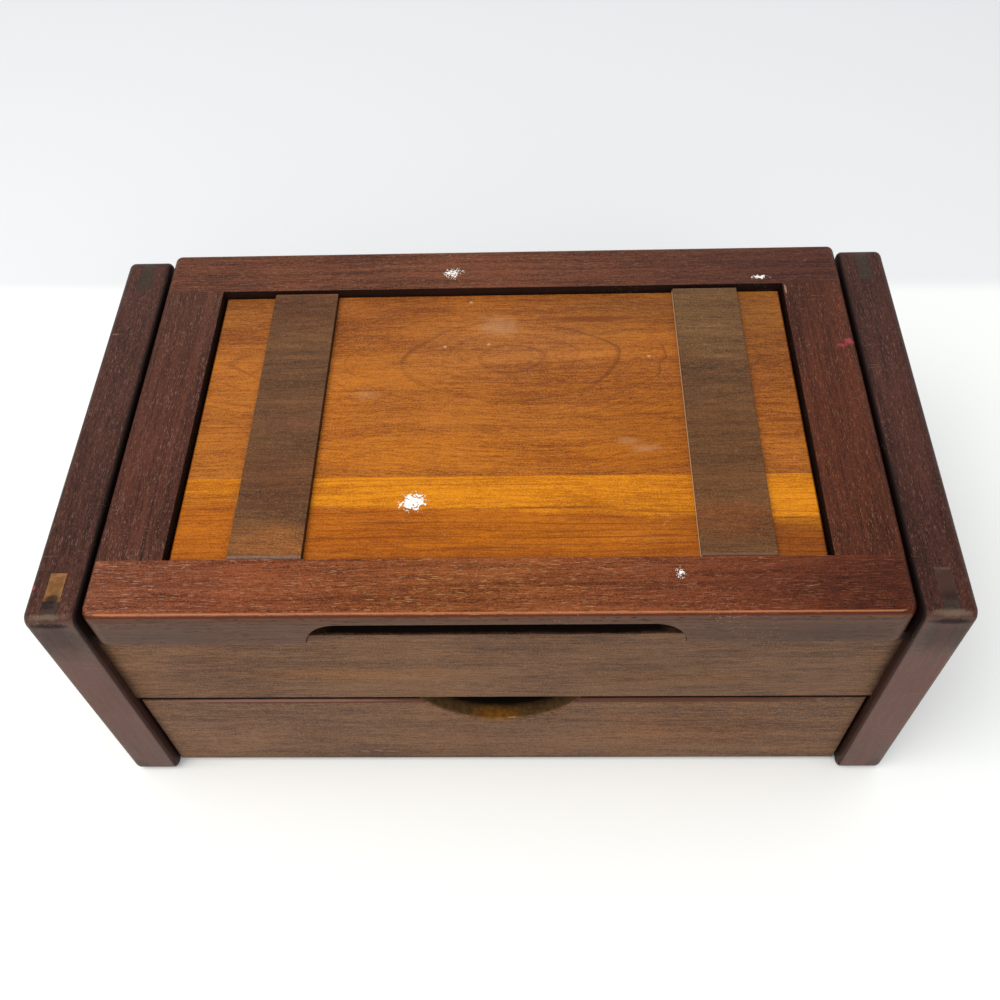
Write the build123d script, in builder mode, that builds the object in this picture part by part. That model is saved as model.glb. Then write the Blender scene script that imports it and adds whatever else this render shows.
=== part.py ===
"""Jewelry box: two open-framed ends, a hinged lid over a compartment, and one drawer below.

Everything is in millimetres. X runs left to right, Y runs from front to back, Z is up.
The origin is on the floor under the middle of the box.
"""
import os
from math import radians, tan

from build123d import *

# Overall sizes of the two end frames
box_width = 330.0
box_depth = 192.0
box_height = 122.0

# End frames: two rails and two posts each, joined by corner bridles
frame_thickness = 19.0
post_depth = 20.5
rail_height = 25.4
bridle_tenon = 6.0
frame_corner_radius = 4.5
edge_radius = 3.0
frame_inside_radius = 1.8
inner_edge_radius = 1.2

# End panels, flush inside and held in grooves
end_panel_thickness = 9.5
panel_tongue = 5.0
tongue_length = 5.0
panel_edge_gap = 0.3

# Case boards between the end frames
board_thickness = 12.0
front_recess = 4.5
stub_wall = 0.5
stub_thickness = 6.0
stub_margin = 6.0
case_back_lift = 2.5
board_ease = 1.0

# Compartment floor, its dividers and their felt
floor_thickness = 5.0
floor_margin = 4.0
groove_depth = 4.0
divider_thickness = 5.0
divider_drop = 8.8
divider_spacing = 100.0
dado_depth = 2.0
felt_thickness = 1.5
felt_edge_gap = 0.4

# Lid frame and its recessed panel
lid_thickness = 17.0
lid_side_gap = 1.0
lid_setback = 0.5
lid_overhang = 3.0
lid_member_width = 25.4
lid_corner_radius = 3.2
lid_front_corner_radius = 6.5
lid_under_radius = 1.0
lid_panel_recess = 2.5
lid_groove_height = 4.0
lid_groove_depth = 6.0
lid_panel_side_gap = 1.4
lid_panel_front_gap = 0.5
panel_joint_from_front = 66.0
panel_ease = 0.6
stile_tenon_end = 7.0

# Walnut bands that cross the lid panel
band_width = 27.0
left_band_margin = 21.7
right_band_margin = 18.2
band_dado_depth = 2.5
band_front_ease = 1.6
band_ease = 0.4

# Finger slot under the lid's front edge
finger_slot_length = 135.0
finger_slot_roof = 5.0
finger_slot_depth = 14.0
finger_slot_ease = 0.8

# Drawer
drawer_side_gap = 1.0
drawer_floor_gap = 2.5
drawer_front_height = 54.5
drawer_top_gap = 1.0
drawer_front_thickness = 15.0
drawer_front_lip = 7.0
drawer_side_thickness = 11.0
drawer_side_inset = 2.0
drawer_back_thickness = 9.0
drawer_back_inset = 4.0
drawer_rear_gap = 5.0
drawer_bottom_thickness = 4.0
drawer_bottom_lift = 6.0
drawer_back_drop = 2.0
scoop_width = 63.0
scoop_depth = 17.0
drawer_front_ease = 1.2

# Hardwood runners that carry the drawer
runner_width = 6.0
runner_height = 9.6
runner_center_height = 32.0
runner_play = 0.2
runner_face_gap = 0.5

# Brass hinges
hinge_length = 38.0
hinge_spacing = 180.0
leaf_margin = 1.3
leaf_thickness = 1.45
leaf_sink = 0.05
leaf_fit = 0.1
knuckle_radius = 2.5
knuckle_gap = 0.5
knuckle_end_gap = 0.25
knuckle_leaf_gap = 0.3
pin_radius = 1.2
pin_fixed_fit = 0.02
pin_running_fit = 0.06
pin_head_radius = 1.9
pin_head_length = 0.8
hinge_screw_spacing = 13.0

# Slotted countersunk screws
hinge_screw_radius = 1.1
hinge_screw_head = 2.1
hinge_screw_length = 9.0
runner_screw_radius = 1.4
runner_screw_head = 2.7
runner_screw_length = 12.5
runner_screw_spacing = 52.0
countersink_angle = 82.0
screw_slot_width = 0.6
screw_slot_depth = 0.5
screw_point_length = 2.0
screw_fit = 0.05

# Clearance in a glued or sliding wood joint
fit = 0.05

# Places worked out from the sizes above
total_depth = box_depth + lid_overhang + knuckle_gap + 2 * knuckle_radius
post_front = -total_depth / 2
frame_back = post_front + box_depth
frame_middle = (post_front + frame_back) / 2
opening_depth = box_depth - 2 * post_depth
opening_height = box_height - 2 * rail_height
inner_x = box_width / 2 - frame_thickness
stub_length = end_panel_thickness - panel_tongue - stub_wall

lid_half_width = inner_x - lid_side_gap
lid_front = post_front + lid_setback
lid_back = frame_back + lid_overhang
lid_bottom = box_height - lid_thickness
lid_middle = (lid_front + lid_back) / 2
lid_opening_half = lid_half_width - lid_member_width
lid_opening_front = lid_front + lid_member_width
lid_opening_back = lid_back - lid_member_width
finger_slot_height = lid_thickness - finger_slot_roof

drawer_top = drawer_floor_gap + drawer_front_height
front_face = post_front + front_recess
case_front_bottom = drawer_top + drawer_top_gap
case_inner_front = front_face + board_thickness
case_inner_back = frame_back - board_thickness
floor_bottom = case_front_bottom + floor_margin
floor_top = floor_bottom + floor_thickness

axis_y = lid_back + knuckle_gap + knuckle_radius
axis_z = lid_bottom
leaf_front = case_inner_back + leaf_margin
hinge_screw_y = frame_back - board_thickness / 2
leaf_back = axis_y - knuckle_radius - knuckle_leaf_gap
hinge_centers = {"left": -hinge_spacing / 2, "right": hinge_spacing / 2}
sides = {"left": -1, "right": 1}
hinge_screw_offsets = (-hinge_screw_spacing, 0, hinge_screw_spacing)

drawer_inner_front = front_face + drawer_front_thickness
runner_screw_rows = [frame_middle + n * runner_screw_spacing for n in (-1, 0, 1)]
countersink_slope = tan(radians(countersink_angle / 2))

os.makedirs("parts", exist_ok=True)


def save(part, name):
    """Labels a finished piece and writes it to its own file."""
    part.label = name
    export_step(part, f"parts/{name}.step")


def block(x, y, z, mode=Mode.ADD):
    """Adds or cuts a squared block that spans the given pairs of x, y and z."""
    low = (min(x), min(y), min(z))
    size = (abs(x[1] - x[0]), abs(y[1] - y[0]), abs(z[1] - z[0]))
    with Locations(low):
        Box(*size, align=(Align.MIN, Align.MIN, Align.MIN), mode=mode)


def grown(pair, amount):
    """A pair of bounds, each moved outwards by the amount."""
    return (min(pair) - amount, max(pair) + amount)


def screw(radius, head_radius, length, places):
    """Slotted countersunk screws with pointed ends, one at each place, heads at the plane's origin."""
    head_height = (head_radius - radius) / countersink_slope
    with BuildPart() as screws:
        with Locations(*places):
            Cone(radius, head_radius, head_height, align=(Align.CENTER, Align.CENTER, Align.MAX))
            with Locations((0, 0, -head_height)):
                Cylinder(radius, length - head_height - screw_point_length,
                         align=(Align.CENTER, Align.CENTER, Align.MAX))
            with Locations((0, 0, screw_point_length - length)):
                Cone(screw_fit, radius, screw_point_length,
                     align=(Align.CENTER, Align.CENTER, Align.MAX))
            Box(2 * head_radius, screw_slot_width, 2 * screw_slot_depth, mode=Mode.SUBTRACT)
    return screws.part


def frame_face(frame, side, place):
    """An end frame's flat face towards the case (place 0) or away from it (place -1)."""
    return frame.faces().filter_by(Axis.X).sort_by(Axis.X)[:: side][place]


def end_frame(side_name, side):
    """One end of the box: two posts, two rails and the panel held in their grooves."""
    x_middle = side * (inner_x + frame_thickness / 2)
    tongue_x = inner_x + end_panel_thickness - panel_tongue / 2
    groove_x = (side * (tongue_x - panel_tongue / 2 - fit), side * (tongue_x + panel_tongue / 2 + fit))
    stub_x = (side * (inner_x - fit), side * (inner_x + stub_length + fit))

    with BuildPart() as blank:
        with BuildSketch(Plane.YZ.offset(x_middle)):
            with Locations((frame_middle, box_height / 2)):
                RectangleRounded(box_depth, box_height, frame_corner_radius)
                Rectangle(opening_depth, opening_height, mode=Mode.SUBTRACT)
        extrude(amount=frame_thickness / 2, both=True)
        fillet(frame_face(blank, side, -1).outer_wire().edges(), edge_radius)
        fillet(frame_face(blank, side, 0).outer_wire().edges(), frame_inside_radius)
        fillet(frame_face(blank, side, -1).inner_wires()[0].edges(), inner_edge_radius)

    for place, y_near, inward, board_y in (
        ("front", post_front, 1, (front_face, case_inner_front)),
        ("rear", frame_back, -1, (case_inner_back, frame_back)),
    ):
        opening_side = y_near + inward * post_depth
        board_middle = sum(board_y) / 2
        board_bottom = case_front_bottom if place == "front" else case_back_lift
        stub_bottom = max(board_bottom, rail_height) + stub_margin
        stub_top = box_height - rail_height - stub_margin
        with BuildPart() as post:
            with BuildSketch(Plane.XZ.offset(-y_near)):
                with Locations((x_middle, box_height / 2)):
                    Rectangle(frame_thickness, opening_height)
                    Rectangle(bridle_tenon - 2 * fit, box_height)
            extrude(amount=-inward * post_depth)
            add(blank.part, mode=Mode.INTERSECT)
            block(
                groove_x,
                (opening_side, opening_side - inward * (tongue_length + fit)),
                (rail_height, box_height - rail_height),
                Mode.SUBTRACT,
            )
            block(
                stub_x,
                (board_middle - stub_thickness / 2 - fit, board_middle + stub_thickness / 2 + fit),
                (stub_bottom - fit, stub_top + fit),
                Mode.SUBTRACT,
            )
        save(post.part, f"{side_name}_{place}_post")

    for place, rail_bottom, groove_z in (
        ("bottom", 0, rail_height),
        ("top", box_height - rail_height, box_height - rail_height),
    ):
        into_rail = -1 if place == "bottom" else 1
        with BuildPart() as rail:
            with BuildSketch(Plane.XY.offset(rail_bottom)):
                with Locations((x_middle, frame_middle)):
                    Rectangle(frame_thickness, box_depth)
                with Locations(
                    (x_middle, post_front + post_depth / 2),
                    (x_middle, frame_back - post_depth / 2),
                ):
                    Rectangle(bridle_tenon, post_depth, mode=Mode.SUBTRACT)
            extrude(amount=rail_height)
            add(blank.part, mode=Mode.INTERSECT)
            block(
                groove_x,
                (post_front + post_depth, frame_back - post_depth),
                (groove_z, groove_z + into_rail * (tongue_length + fit)),
                Mode.SUBTRACT,
            )
        save(rail.part, f"{side_name}_{place}_rail")

    with BuildPart() as panel:
        with BuildSketch(Plane.YZ.offset(side * inner_x)):
            with Locations((frame_middle, box_height / 2)):
                Rectangle(opening_depth - 2 * panel_edge_gap, opening_height - 2 * panel_edge_gap)
        extrude(amount=side * end_panel_thickness)
        with BuildSketch(Plane.YZ.offset(side * (inner_x + end_panel_thickness))):
            with Locations((frame_middle, box_height / 2)):
                Rectangle(opening_depth + 2 * tongue_length, opening_height - 2 * panel_edge_gap)
                Rectangle(opening_depth - 2 * panel_edge_gap, opening_height + 2 * tongue_length)
        extrude(amount=-side * panel_tongue)
        for y in runner_screw_rows:
            with Locations(Plane((side * inner_x, y, runner_center_height), z_dir=(-side, 0, 0))):
                Hole(runner_screw_radius + screw_fit, depth=runner_screw_length - runner_width)
    save(panel.part, f"{side_name}_end_panel")


def hinge_leaf(center, upwards):
    """One brass hinge leaf. The case leaf carries the two outer knuckles, the lid leaf the middle one."""
    knuckle_length = (hinge_length - 2 * knuckle_end_gap) / 3
    step = knuckle_length + knuckle_end_gap
    start = center - hinge_length / 2
    middle = (start + step, start + step + knuckle_length)
    outer = ((start, start + knuckle_length), (start + 2 * step, start + hinge_length))
    own = (middle,) if upwards else outer
    bore = pin_radius + (pin_running_fit if upwards else pin_fixed_fit)
    direction = 1 if upwards else -1
    face_z = axis_z + direction * leaf_sink
    back_z = face_z + direction * leaf_thickness
    with BuildPart() as leaf:
        block((start, start + hinge_length), (leaf_front, leaf_back), (face_z, back_z))
        for x in own:
            block(x, (leaf_back, axis_y), (face_z, back_z))
            with Locations(((x[0] + x[1]) / 2, axis_y, axis_z)):
                Cylinder(knuckle_radius, x[1] - x[0], rotation=(0, 90, 0))
                Cylinder(bore, x[1] - x[0], rotation=(0, 90, 0), mode=Mode.SUBTRACT)
        for x in hinge_screw_offsets:
            with Locations(Plane((center + x, hinge_screw_y, face_z),
                                 z_dir=(0, 0, -direction))):
                CounterSinkHole(hinge_screw_radius + screw_fit, hinge_screw_head + screw_fit,
                                depth=leaf_thickness, counter_sink_angle=countersink_angle)
    return leaf.part


def hinge_screw_places(upwards):
    """The head of each hinge screw, its point towards the lid or down into the case back."""
    direction = 1 if upwards else -1
    return [
        Plane((center + x, hinge_screw_y, axis_z + direction * leaf_sink),
              z_dir=(0, 0, -direction))
        for center in hinge_centers.values()
        for x in hinge_screw_offsets
    ]


def leaf_mortises(z, y_open):
    """Recesses for both hinge leaves in a board's edge, open at the back."""
    for center in hinge_centers.values():
        block(
            grown((center - hinge_length / 2, center + hinge_length / 2), leaf_fit),
            (leaf_front - leaf_fit, y_open),
            z,
            Mode.SUBTRACT,
        )


def screw_holes(places, radius, depth):
    """Pilot holes for the shanks of a row of screws."""
    with Locations(*places):
        Hole(radius + screw_fit, depth=depth + screw_fit)


def case_board(board_y, bottom, outside):
    """A board between the end frames, with a stub tenon at each end and its lower outer edge eased."""
    middle = sum(board_y) / 2
    stub_bottom = max(bottom, rail_height) + stub_margin
    stub_top = box_height - rail_height - stub_margin
    with BuildPart() as board:
        block((-inner_x, inner_x), board_y, (bottom, lid_bottom))
        outer_face = board.faces().filter_by(Axis.Y).sort_by(Axis.Y)[outside]
        chamfer(outer_face.edges().filter_by(Axis.X).sort_by(Axis.Z)[0], board_ease)
        block(
            (-inner_x - stub_length, inner_x + stub_length),
            (middle - stub_thickness / 2, middle + stub_thickness / 2),
            (stub_bottom, stub_top),
        )
    return board.part


def floor_and_divider_cuts(inner_face, into_board):
    """The groove for the floor and the dadoes for the dividers, in the inner face of a case board."""
    block(
        (-inner_x, inner_x),
        (inner_face, inner_face + into_board * groove_depth),
        (floor_bottom - fit, floor_top + fit),
        Mode.SUBTRACT,
    )
    for center in divider_centers:
        block(
            grown((center, center), divider_thickness / 2 + fit),
            (inner_face, inner_face + into_board * dado_depth),
            (floor_top, lid_bottom),
            Mode.SUBTRACT,
        )


divider_centers = (-divider_spacing / 2, divider_spacing / 2)

for side_name, side in sides.items():
    end_frame(side_name, side)

with BuildPart() as case_front:
    add(case_board((front_face, case_inner_front), case_front_bottom, 0))
    floor_and_divider_cuts(case_inner_front, -1)
save(case_front.part, "case_front")

with BuildPart() as case_back:
    add(case_board((case_inner_back, frame_back), case_back_lift, -1))
    floor_and_divider_cuts(case_inner_back, 1)
    leaf_mortises((lid_bottom - leaf_sink - leaf_thickness, lid_bottom), frame_back)
    screw_holes(hinge_screw_places(False), hinge_screw_radius, hinge_screw_length)
save(case_back.part, "case_back")

with BuildPart() as compartment_floor:
    block(
        (-inner_x + fit, inner_x - fit),
        (case_inner_front - groove_depth + fit, case_inner_back + groove_depth - fit),
        (floor_bottom, floor_top),
    )
save(compartment_floor.part, "compartment_floor")

for name, center in zip(("left", "right"), divider_centers):
    with BuildPart() as divider:
        block(
            grown((center, center), divider_thickness / 2),
            (case_inner_front - dado_depth + fit, case_inner_back + dado_depth - fit),
            (floor_top, lid_bottom - divider_drop),
        )
        top_edges = divider.faces().sort_by(Axis.Z)[-1].edges().filter_by(Axis.Y)
        chamfer(top_edges, board_ease)
    save(divider.part, f"{name}_divider")

cell_edges = [-inner_x]
for center in divider_centers:
    cell_edges += [center - divider_thickness / 2, center + divider_thickness / 2]
cell_edges += [inner_x]
for name, left, right in zip(("left", "middle", "right"), cell_edges[::2], cell_edges[1::2]):
    with BuildPart() as felt:
        block(
            (left + felt_edge_gap, right - felt_edge_gap),
            (case_inner_front + felt_edge_gap, case_inner_back - felt_edge_gap),
            (floor_top, floor_top + felt_thickness),
        )
    save(felt.part, f"{name}_compartment_felt")

for side_name, side in sides.items():
    screw_places = [
        Plane((side * (inner_x - runner_width), y, runner_center_height), z_dir=(-side, 0, 0))
        for y in runner_screw_rows
    ]
    with BuildPart() as runner:
        block(
            (side * (inner_x - runner_width), side * inner_x),
            (drawer_inner_front, case_inner_back),
            (runner_center_height - runner_height / 2, runner_center_height + runner_height / 2),
        )
        with Locations(*screw_places):
            CounterSinkHole(runner_screw_radius + screw_fit, runner_screw_head + screw_fit,
                            depth=runner_width, counter_sink_angle=countersink_angle)
    save(runner.part, f"{side_name}_runner")
    save(
        screw(runner_screw_radius, runner_screw_head, runner_screw_length, screw_places),
        f"{side_name}_runner_screws",
    )

for side_name, center in hinge_centers.items():
    save(hinge_leaf(center, False), f"{side_name}_hinge_case_leaf")
    save(hinge_leaf(center, True), f"{side_name}_hinge_lid_leaf")
    with BuildPart() as pin:
        with Locations((center, axis_y, axis_z)):
            Cylinder(pin_radius, hinge_length, rotation=(0, 90, 0))
        for end in (-1, 1):
            with Locations((center + end * (hinge_length + pin_head_length) / 2, axis_y, axis_z)):
                Cylinder(pin_head_radius, pin_head_length, rotation=(0, 90, 0))
    save(pin.part, f"{side_name}_hinge_pin")

for name, upwards in (("case", False), ("lid", True)):
    save(
        screw(hinge_screw_radius, hinge_screw_head, hinge_screw_length, hinge_screw_places(upwards)),
        f"{name}_hinge_screws",
    )

groove_bottom = lid_bottom + lid_groove_height
groove_z = (groove_bottom - fit, groove_bottom + panel_tongue + fit)
lid_groove_half = lid_half_width - stile_tenon_end

with BuildPart() as lid_blank:
    with BuildSketch(Plane.XY.offset(lid_bottom)) as lid_outline:
        with Locations((0, lid_middle)):
            Rectangle(2 * lid_half_width, lid_back - lid_front)
        fillet(lid_outline.vertices().sort_by(Axis.Y)[:2], lid_front_corner_radius)
        fillet(lid_outline.vertices().sort_by(Axis.Y)[-2:], lid_corner_radius)
        with Locations((0, lid_middle)):
            Rectangle(2 * lid_opening_half, lid_opening_back - lid_opening_front, mode=Mode.SUBTRACT)
    extrude(amount=lid_thickness)
    fillet(lid_blank.faces().sort_by(Axis.Z)[-1].outer_wire().edges(), edge_radius)
    fillet(lid_blank.faces().sort_by(Axis.Z)[0].outer_wire().edges(), lid_under_radius)

with BuildPart() as lid_front_rail:
    block((-lid_half_width, lid_half_width), (lid_front, lid_opening_front), (lid_bottom, box_height))
    add(lid_blank.part, mode=Mode.INTERSECT)
    block(
        (-lid_groove_half, lid_groove_half),
        (lid_opening_front - lid_groove_depth, lid_opening_front),
        groove_z,
        Mode.SUBTRACT,
    )
    with BuildSketch(Plane.XZ.offset(-lid_front)):
        with Locations((0, lid_bottom)):
            SlotOverall(finger_slot_length, 2 * finger_slot_height)
    extrude(amount=-finger_slot_depth, mode=Mode.SUBTRACT)
    rim = lid_front_rail.faces().filter_by(Axis.Y).sort_by(Axis.Y)[0]
    slot_edges = [
        edge
        for edge in rim.edges()
        if abs(edge.center().X) < finger_slot_length / 2 and edge.center().Z < box_height - edge_radius
    ]
    fillet(slot_edges, finger_slot_ease)
save(lid_front_rail.part, "lid_front_rail")

with BuildPart() as lid_back_rail:
    block((-lid_half_width, lid_half_width), (lid_opening_back, lid_back), (lid_bottom, box_height))
    add(lid_blank.part, mode=Mode.INTERSECT)
    block(
        (-lid_groove_half, lid_groove_half),
        (lid_opening_back, lid_opening_back + lid_groove_depth),
        groove_z,
        Mode.SUBTRACT,
    )
    leaf_mortises((lid_bottom, lid_bottom + leaf_sink + leaf_thickness), lid_back)
    screw_holes(hinge_screw_places(True), hinge_screw_radius, hinge_screw_length)
save(lid_back_rail.part, "lid_back_rail")

for side_name, side in sides.items():
    tenon_x = (side * (lid_opening_half + lid_groove_depth + fit), side * (lid_groove_half - fit))
    with BuildPart() as stile:
        block(
            (side * lid_opening_half, side * lid_half_width),
            (lid_opening_front, lid_opening_back),
            (lid_bottom, box_height),
        )
        add(lid_blank.part, mode=Mode.INTERSECT)
        block(
            (side * lid_opening_half, side * (lid_opening_half + lid_groove_depth)),
            (lid_opening_front, lid_opening_back),
            groove_z,
            Mode.SUBTRACT,
        )
        block(
            tenon_x,
            grown((lid_opening_front, lid_opening_back), lid_groove_depth - 2 * fit),
            (groove_bottom, groove_bottom + panel_tongue),
        )
    save(stile.part, f"lid_{side_name}_stile")

field_half = lid_opening_half - lid_panel_side_gap
field_front = lid_opening_front + lid_panel_front_gap
field_back = lid_opening_back - lid_panel_side_gap
panel_joint = post_front + panel_joint_from_front
panel_top = box_height - lid_panel_recess
band_bottom = panel_top - band_dado_depth
bands = {
    "left": (left_band_margin - field_half, left_band_margin + band_width - field_half),
    "right": (field_half - right_band_margin - band_width, field_half - right_band_margin),
}

for name, joint_edge, tongue_y, field_y in (
    ("front", -1, (lid_opening_front - tongue_length, panel_joint), (field_front, panel_joint)),
    ("main", 0, (panel_joint, lid_opening_back + tongue_length), (panel_joint, field_back)),
):
    with BuildPart() as panel_board:
        block((-field_half, field_half), field_y, (groove_bottom, panel_top))
        top_edges = panel_board.faces().sort_by(Axis.Z)[-1].edges()
        glued_edge = top_edges.sort_by(Axis.Y)[joint_edge]
        chamfer([edge for edge in top_edges if edge != glued_edge], panel_ease)
        tongue_half = lid_opening_half + tongue_length
        block((-tongue_half, tongue_half), tongue_y, (groove_bottom, groove_bottom + panel_tongue))
        for band_x in bands.values():
            block(
                grown(band_x, fit),
                (field_front - panel_edge_gap, field_back + panel_edge_gap),
                (band_bottom, box_height),
                Mode.SUBTRACT,
            )
    save(panel_board.part, f"lid_panel_{name}_board")

for side_name, band_x in bands.items():
    with BuildPart() as band:
        block(band_x, (field_front, field_back), (band_bottom, box_height))
        top_face = band.faces().sort_by(Axis.Z)[-1]
        fillet(top_face.edges().filter_by(Axis.X), band_front_ease)
        fillet(band.faces().sort_by(Axis.Z)[-1].edges().filter_by(Axis.Y), band_ease)
    save(band.part, f"lid_{side_name}_band")

drawer_half = inner_x - drawer_side_gap
drawer_inner = drawer_half - drawer_side_thickness
drawer_end = case_inner_back - drawer_rear_gap
drawer_back_y = (drawer_end - drawer_back_inset - drawer_back_thickness, drawer_end - drawer_back_inset)
side_z = (drawer_floor_gap + drawer_side_inset, drawer_top - drawer_side_inset)
bottom_z = (drawer_floor_gap + drawer_bottom_lift, drawer_floor_gap + drawer_bottom_lift
            + drawer_bottom_thickness)
scoop_radius = ((scoop_width / 2) ** 2 + scoop_depth**2) / (2 * scoop_depth)

with BuildPart() as drawer_front:
    with BuildSketch(Plane.XZ.offset(-front_face)):
        with Locations((0, drawer_floor_gap + drawer_front_height / 2)):
            Rectangle(2 * drawer_half, drawer_front_height)
        with Locations((0, drawer_top - scoop_depth + scoop_radius)):
            Circle(scoop_radius, mode=Mode.SUBTRACT)
    extrude(amount=-drawer_front_thickness)
    face = drawer_front.faces().filter_by(Axis.Y).sort_by(Axis.Y)[0]
    fillet(face.edges(), drawer_front_ease)
    block(
        (-drawer_inner, drawer_inner),
        (drawer_inner_front - groove_depth, drawer_inner_front),
        grown(bottom_z, fit),
        Mode.SUBTRACT,
    )
    for side in sides.values():
        block(
            (side * drawer_inner, side * drawer_half),
            (front_face + drawer_front_lip, drawer_inner_front),
            grown(side_z, fit),
            Mode.SUBTRACT,
        )
save(drawer_front.part, "drawer_front")

for side_name, side in sides.items():
    with BuildPart() as drawer_side:
        block(
            (side * drawer_inner, side * drawer_half),
            (front_face + drawer_front_lip, drawer_end),
            side_z,
        )
        block(
            (side * (inner_x - runner_width - runner_face_gap), side * drawer_half),
            (drawer_inner_front, drawer_end),
            grown((runner_center_height, runner_center_height), runner_height / 2 + runner_play),
            Mode.SUBTRACT,
        )
        block(
            (side * drawer_inner, side * (drawer_inner + groove_depth)),
            (front_face + drawer_front_lip, drawer_end),
            grown(bottom_z, fit),
            Mode.SUBTRACT,
        )
        block(
            (side * drawer_inner, side * (drawer_inner + groove_depth)),
            grown(drawer_back_y, fit),
            (bottom_z[1], side_z[1]),
            Mode.SUBTRACT,
        )
    save(drawer_side.part, f"drawer_{side_name}_side")

with BuildPart() as drawer_back:
    block(
        grown((-drawer_inner, drawer_inner), groove_depth - fit),
        drawer_back_y,
        (bottom_z[1], side_z[1] - drawer_back_drop),
    )
save(drawer_back.part, "drawer_back")

with BuildPart() as drawer_bottom:
    block(
        (-drawer_inner, drawer_inner),
        (drawer_inner_front - groove_depth + fit, drawer_back_y[1]),
        bottom_z,
    )
    block(
        grown((-drawer_inner, drawer_inner), groove_depth - fit),
        (drawer_inner_front, drawer_back_y[1]),
        bottom_z,
    )
save(drawer_bottom.part, "drawer_bottom")

with BuildPart() as drawer_felt:
    block(
        grown((-drawer_inner, drawer_inner), -felt_edge_gap),
        (drawer_inner_front + felt_edge_gap, drawer_back_y[0] - felt_edge_gap),
        (bottom_z[1], bottom_z[1] + felt_thickness),
    )
save(drawer_felt.part, "drawer_felt")
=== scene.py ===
import math

import bpy
from mathutils import Euler, Matrix, Vector, noise


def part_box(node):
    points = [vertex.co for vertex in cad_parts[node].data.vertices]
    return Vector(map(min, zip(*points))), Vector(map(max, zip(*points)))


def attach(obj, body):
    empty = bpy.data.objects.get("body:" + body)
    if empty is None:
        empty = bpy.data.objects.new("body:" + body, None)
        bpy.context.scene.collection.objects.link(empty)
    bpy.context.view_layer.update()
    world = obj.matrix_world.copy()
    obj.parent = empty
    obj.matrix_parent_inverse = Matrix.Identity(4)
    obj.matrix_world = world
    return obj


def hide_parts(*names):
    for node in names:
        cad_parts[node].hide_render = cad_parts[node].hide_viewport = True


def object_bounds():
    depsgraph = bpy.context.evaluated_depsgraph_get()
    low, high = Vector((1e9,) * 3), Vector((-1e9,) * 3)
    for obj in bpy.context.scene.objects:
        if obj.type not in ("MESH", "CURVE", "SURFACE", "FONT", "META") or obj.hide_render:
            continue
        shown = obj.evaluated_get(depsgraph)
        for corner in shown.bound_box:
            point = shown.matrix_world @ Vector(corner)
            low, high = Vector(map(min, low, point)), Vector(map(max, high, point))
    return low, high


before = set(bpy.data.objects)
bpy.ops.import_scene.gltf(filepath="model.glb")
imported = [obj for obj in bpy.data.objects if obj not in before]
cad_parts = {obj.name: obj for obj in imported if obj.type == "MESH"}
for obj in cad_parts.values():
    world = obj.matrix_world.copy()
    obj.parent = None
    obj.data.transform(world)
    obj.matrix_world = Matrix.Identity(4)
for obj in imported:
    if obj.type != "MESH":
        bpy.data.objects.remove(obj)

bl_info = {
    "name": "Jewelry box finish",
    "version": (1, 0, 0),
    "blender": (4, 5, 0),
    "location": "3D View > Sidebar > Jewelry box",
    "description": "Woods, felts, hardware, paint marks and studio for a lidded jewelry box with a drawer",
    "category": "Object",
}

# The box as it was made, before anything is added to it.
cad_low, cad_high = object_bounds()

MM = 0.001

# Directions along which a board's grain can run.
ALONG_X = (0.0, 0.0, 0.0)
ALONG_Y = (0.0, 0.0, -math.pi / 2)
ALONG_Z = (0.0, math.pi / 2, 0.0)
AXIS_OF = {ALONG_X: 0, ALONG_Y: 1, ALONG_Z: 2}


def tone(red, green, blue):
    """A colour as Blender stores it, from the 0 to 255 values of a colour card."""
    parts = [value / 255 for value in (red, green, blue)]
    linear = [p / 12.92 if p <= 0.04045 else ((p + 0.055) / 1.055) ** 2.4 for p in parts]
    return (*linear, 1.0)


def colour_setting(name, description, red, green, blue):
    """A colour that shows as a swatch in the sidebar."""
    return bpy.props.FloatVectorProperty(
        name=name, description=description, subtype="COLOR", size=4, min=0.0, max=1.0,
        default=tone(red, green, blue))


def length_setting(name, description, millimetres):
    """A length that the sidebar shows in the scene's units."""
    return bpy.props.FloatProperty(
        name=name, description=description, unit="LENGTH", precision=5, default=millimetres * MM)


def share_setting(name, description, default, most=1.0):
    """A plain number from 0 up to most."""
    return bpy.props.FloatProperty(
        name=name, description=description, min=0.0, max=most, default=default)


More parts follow.
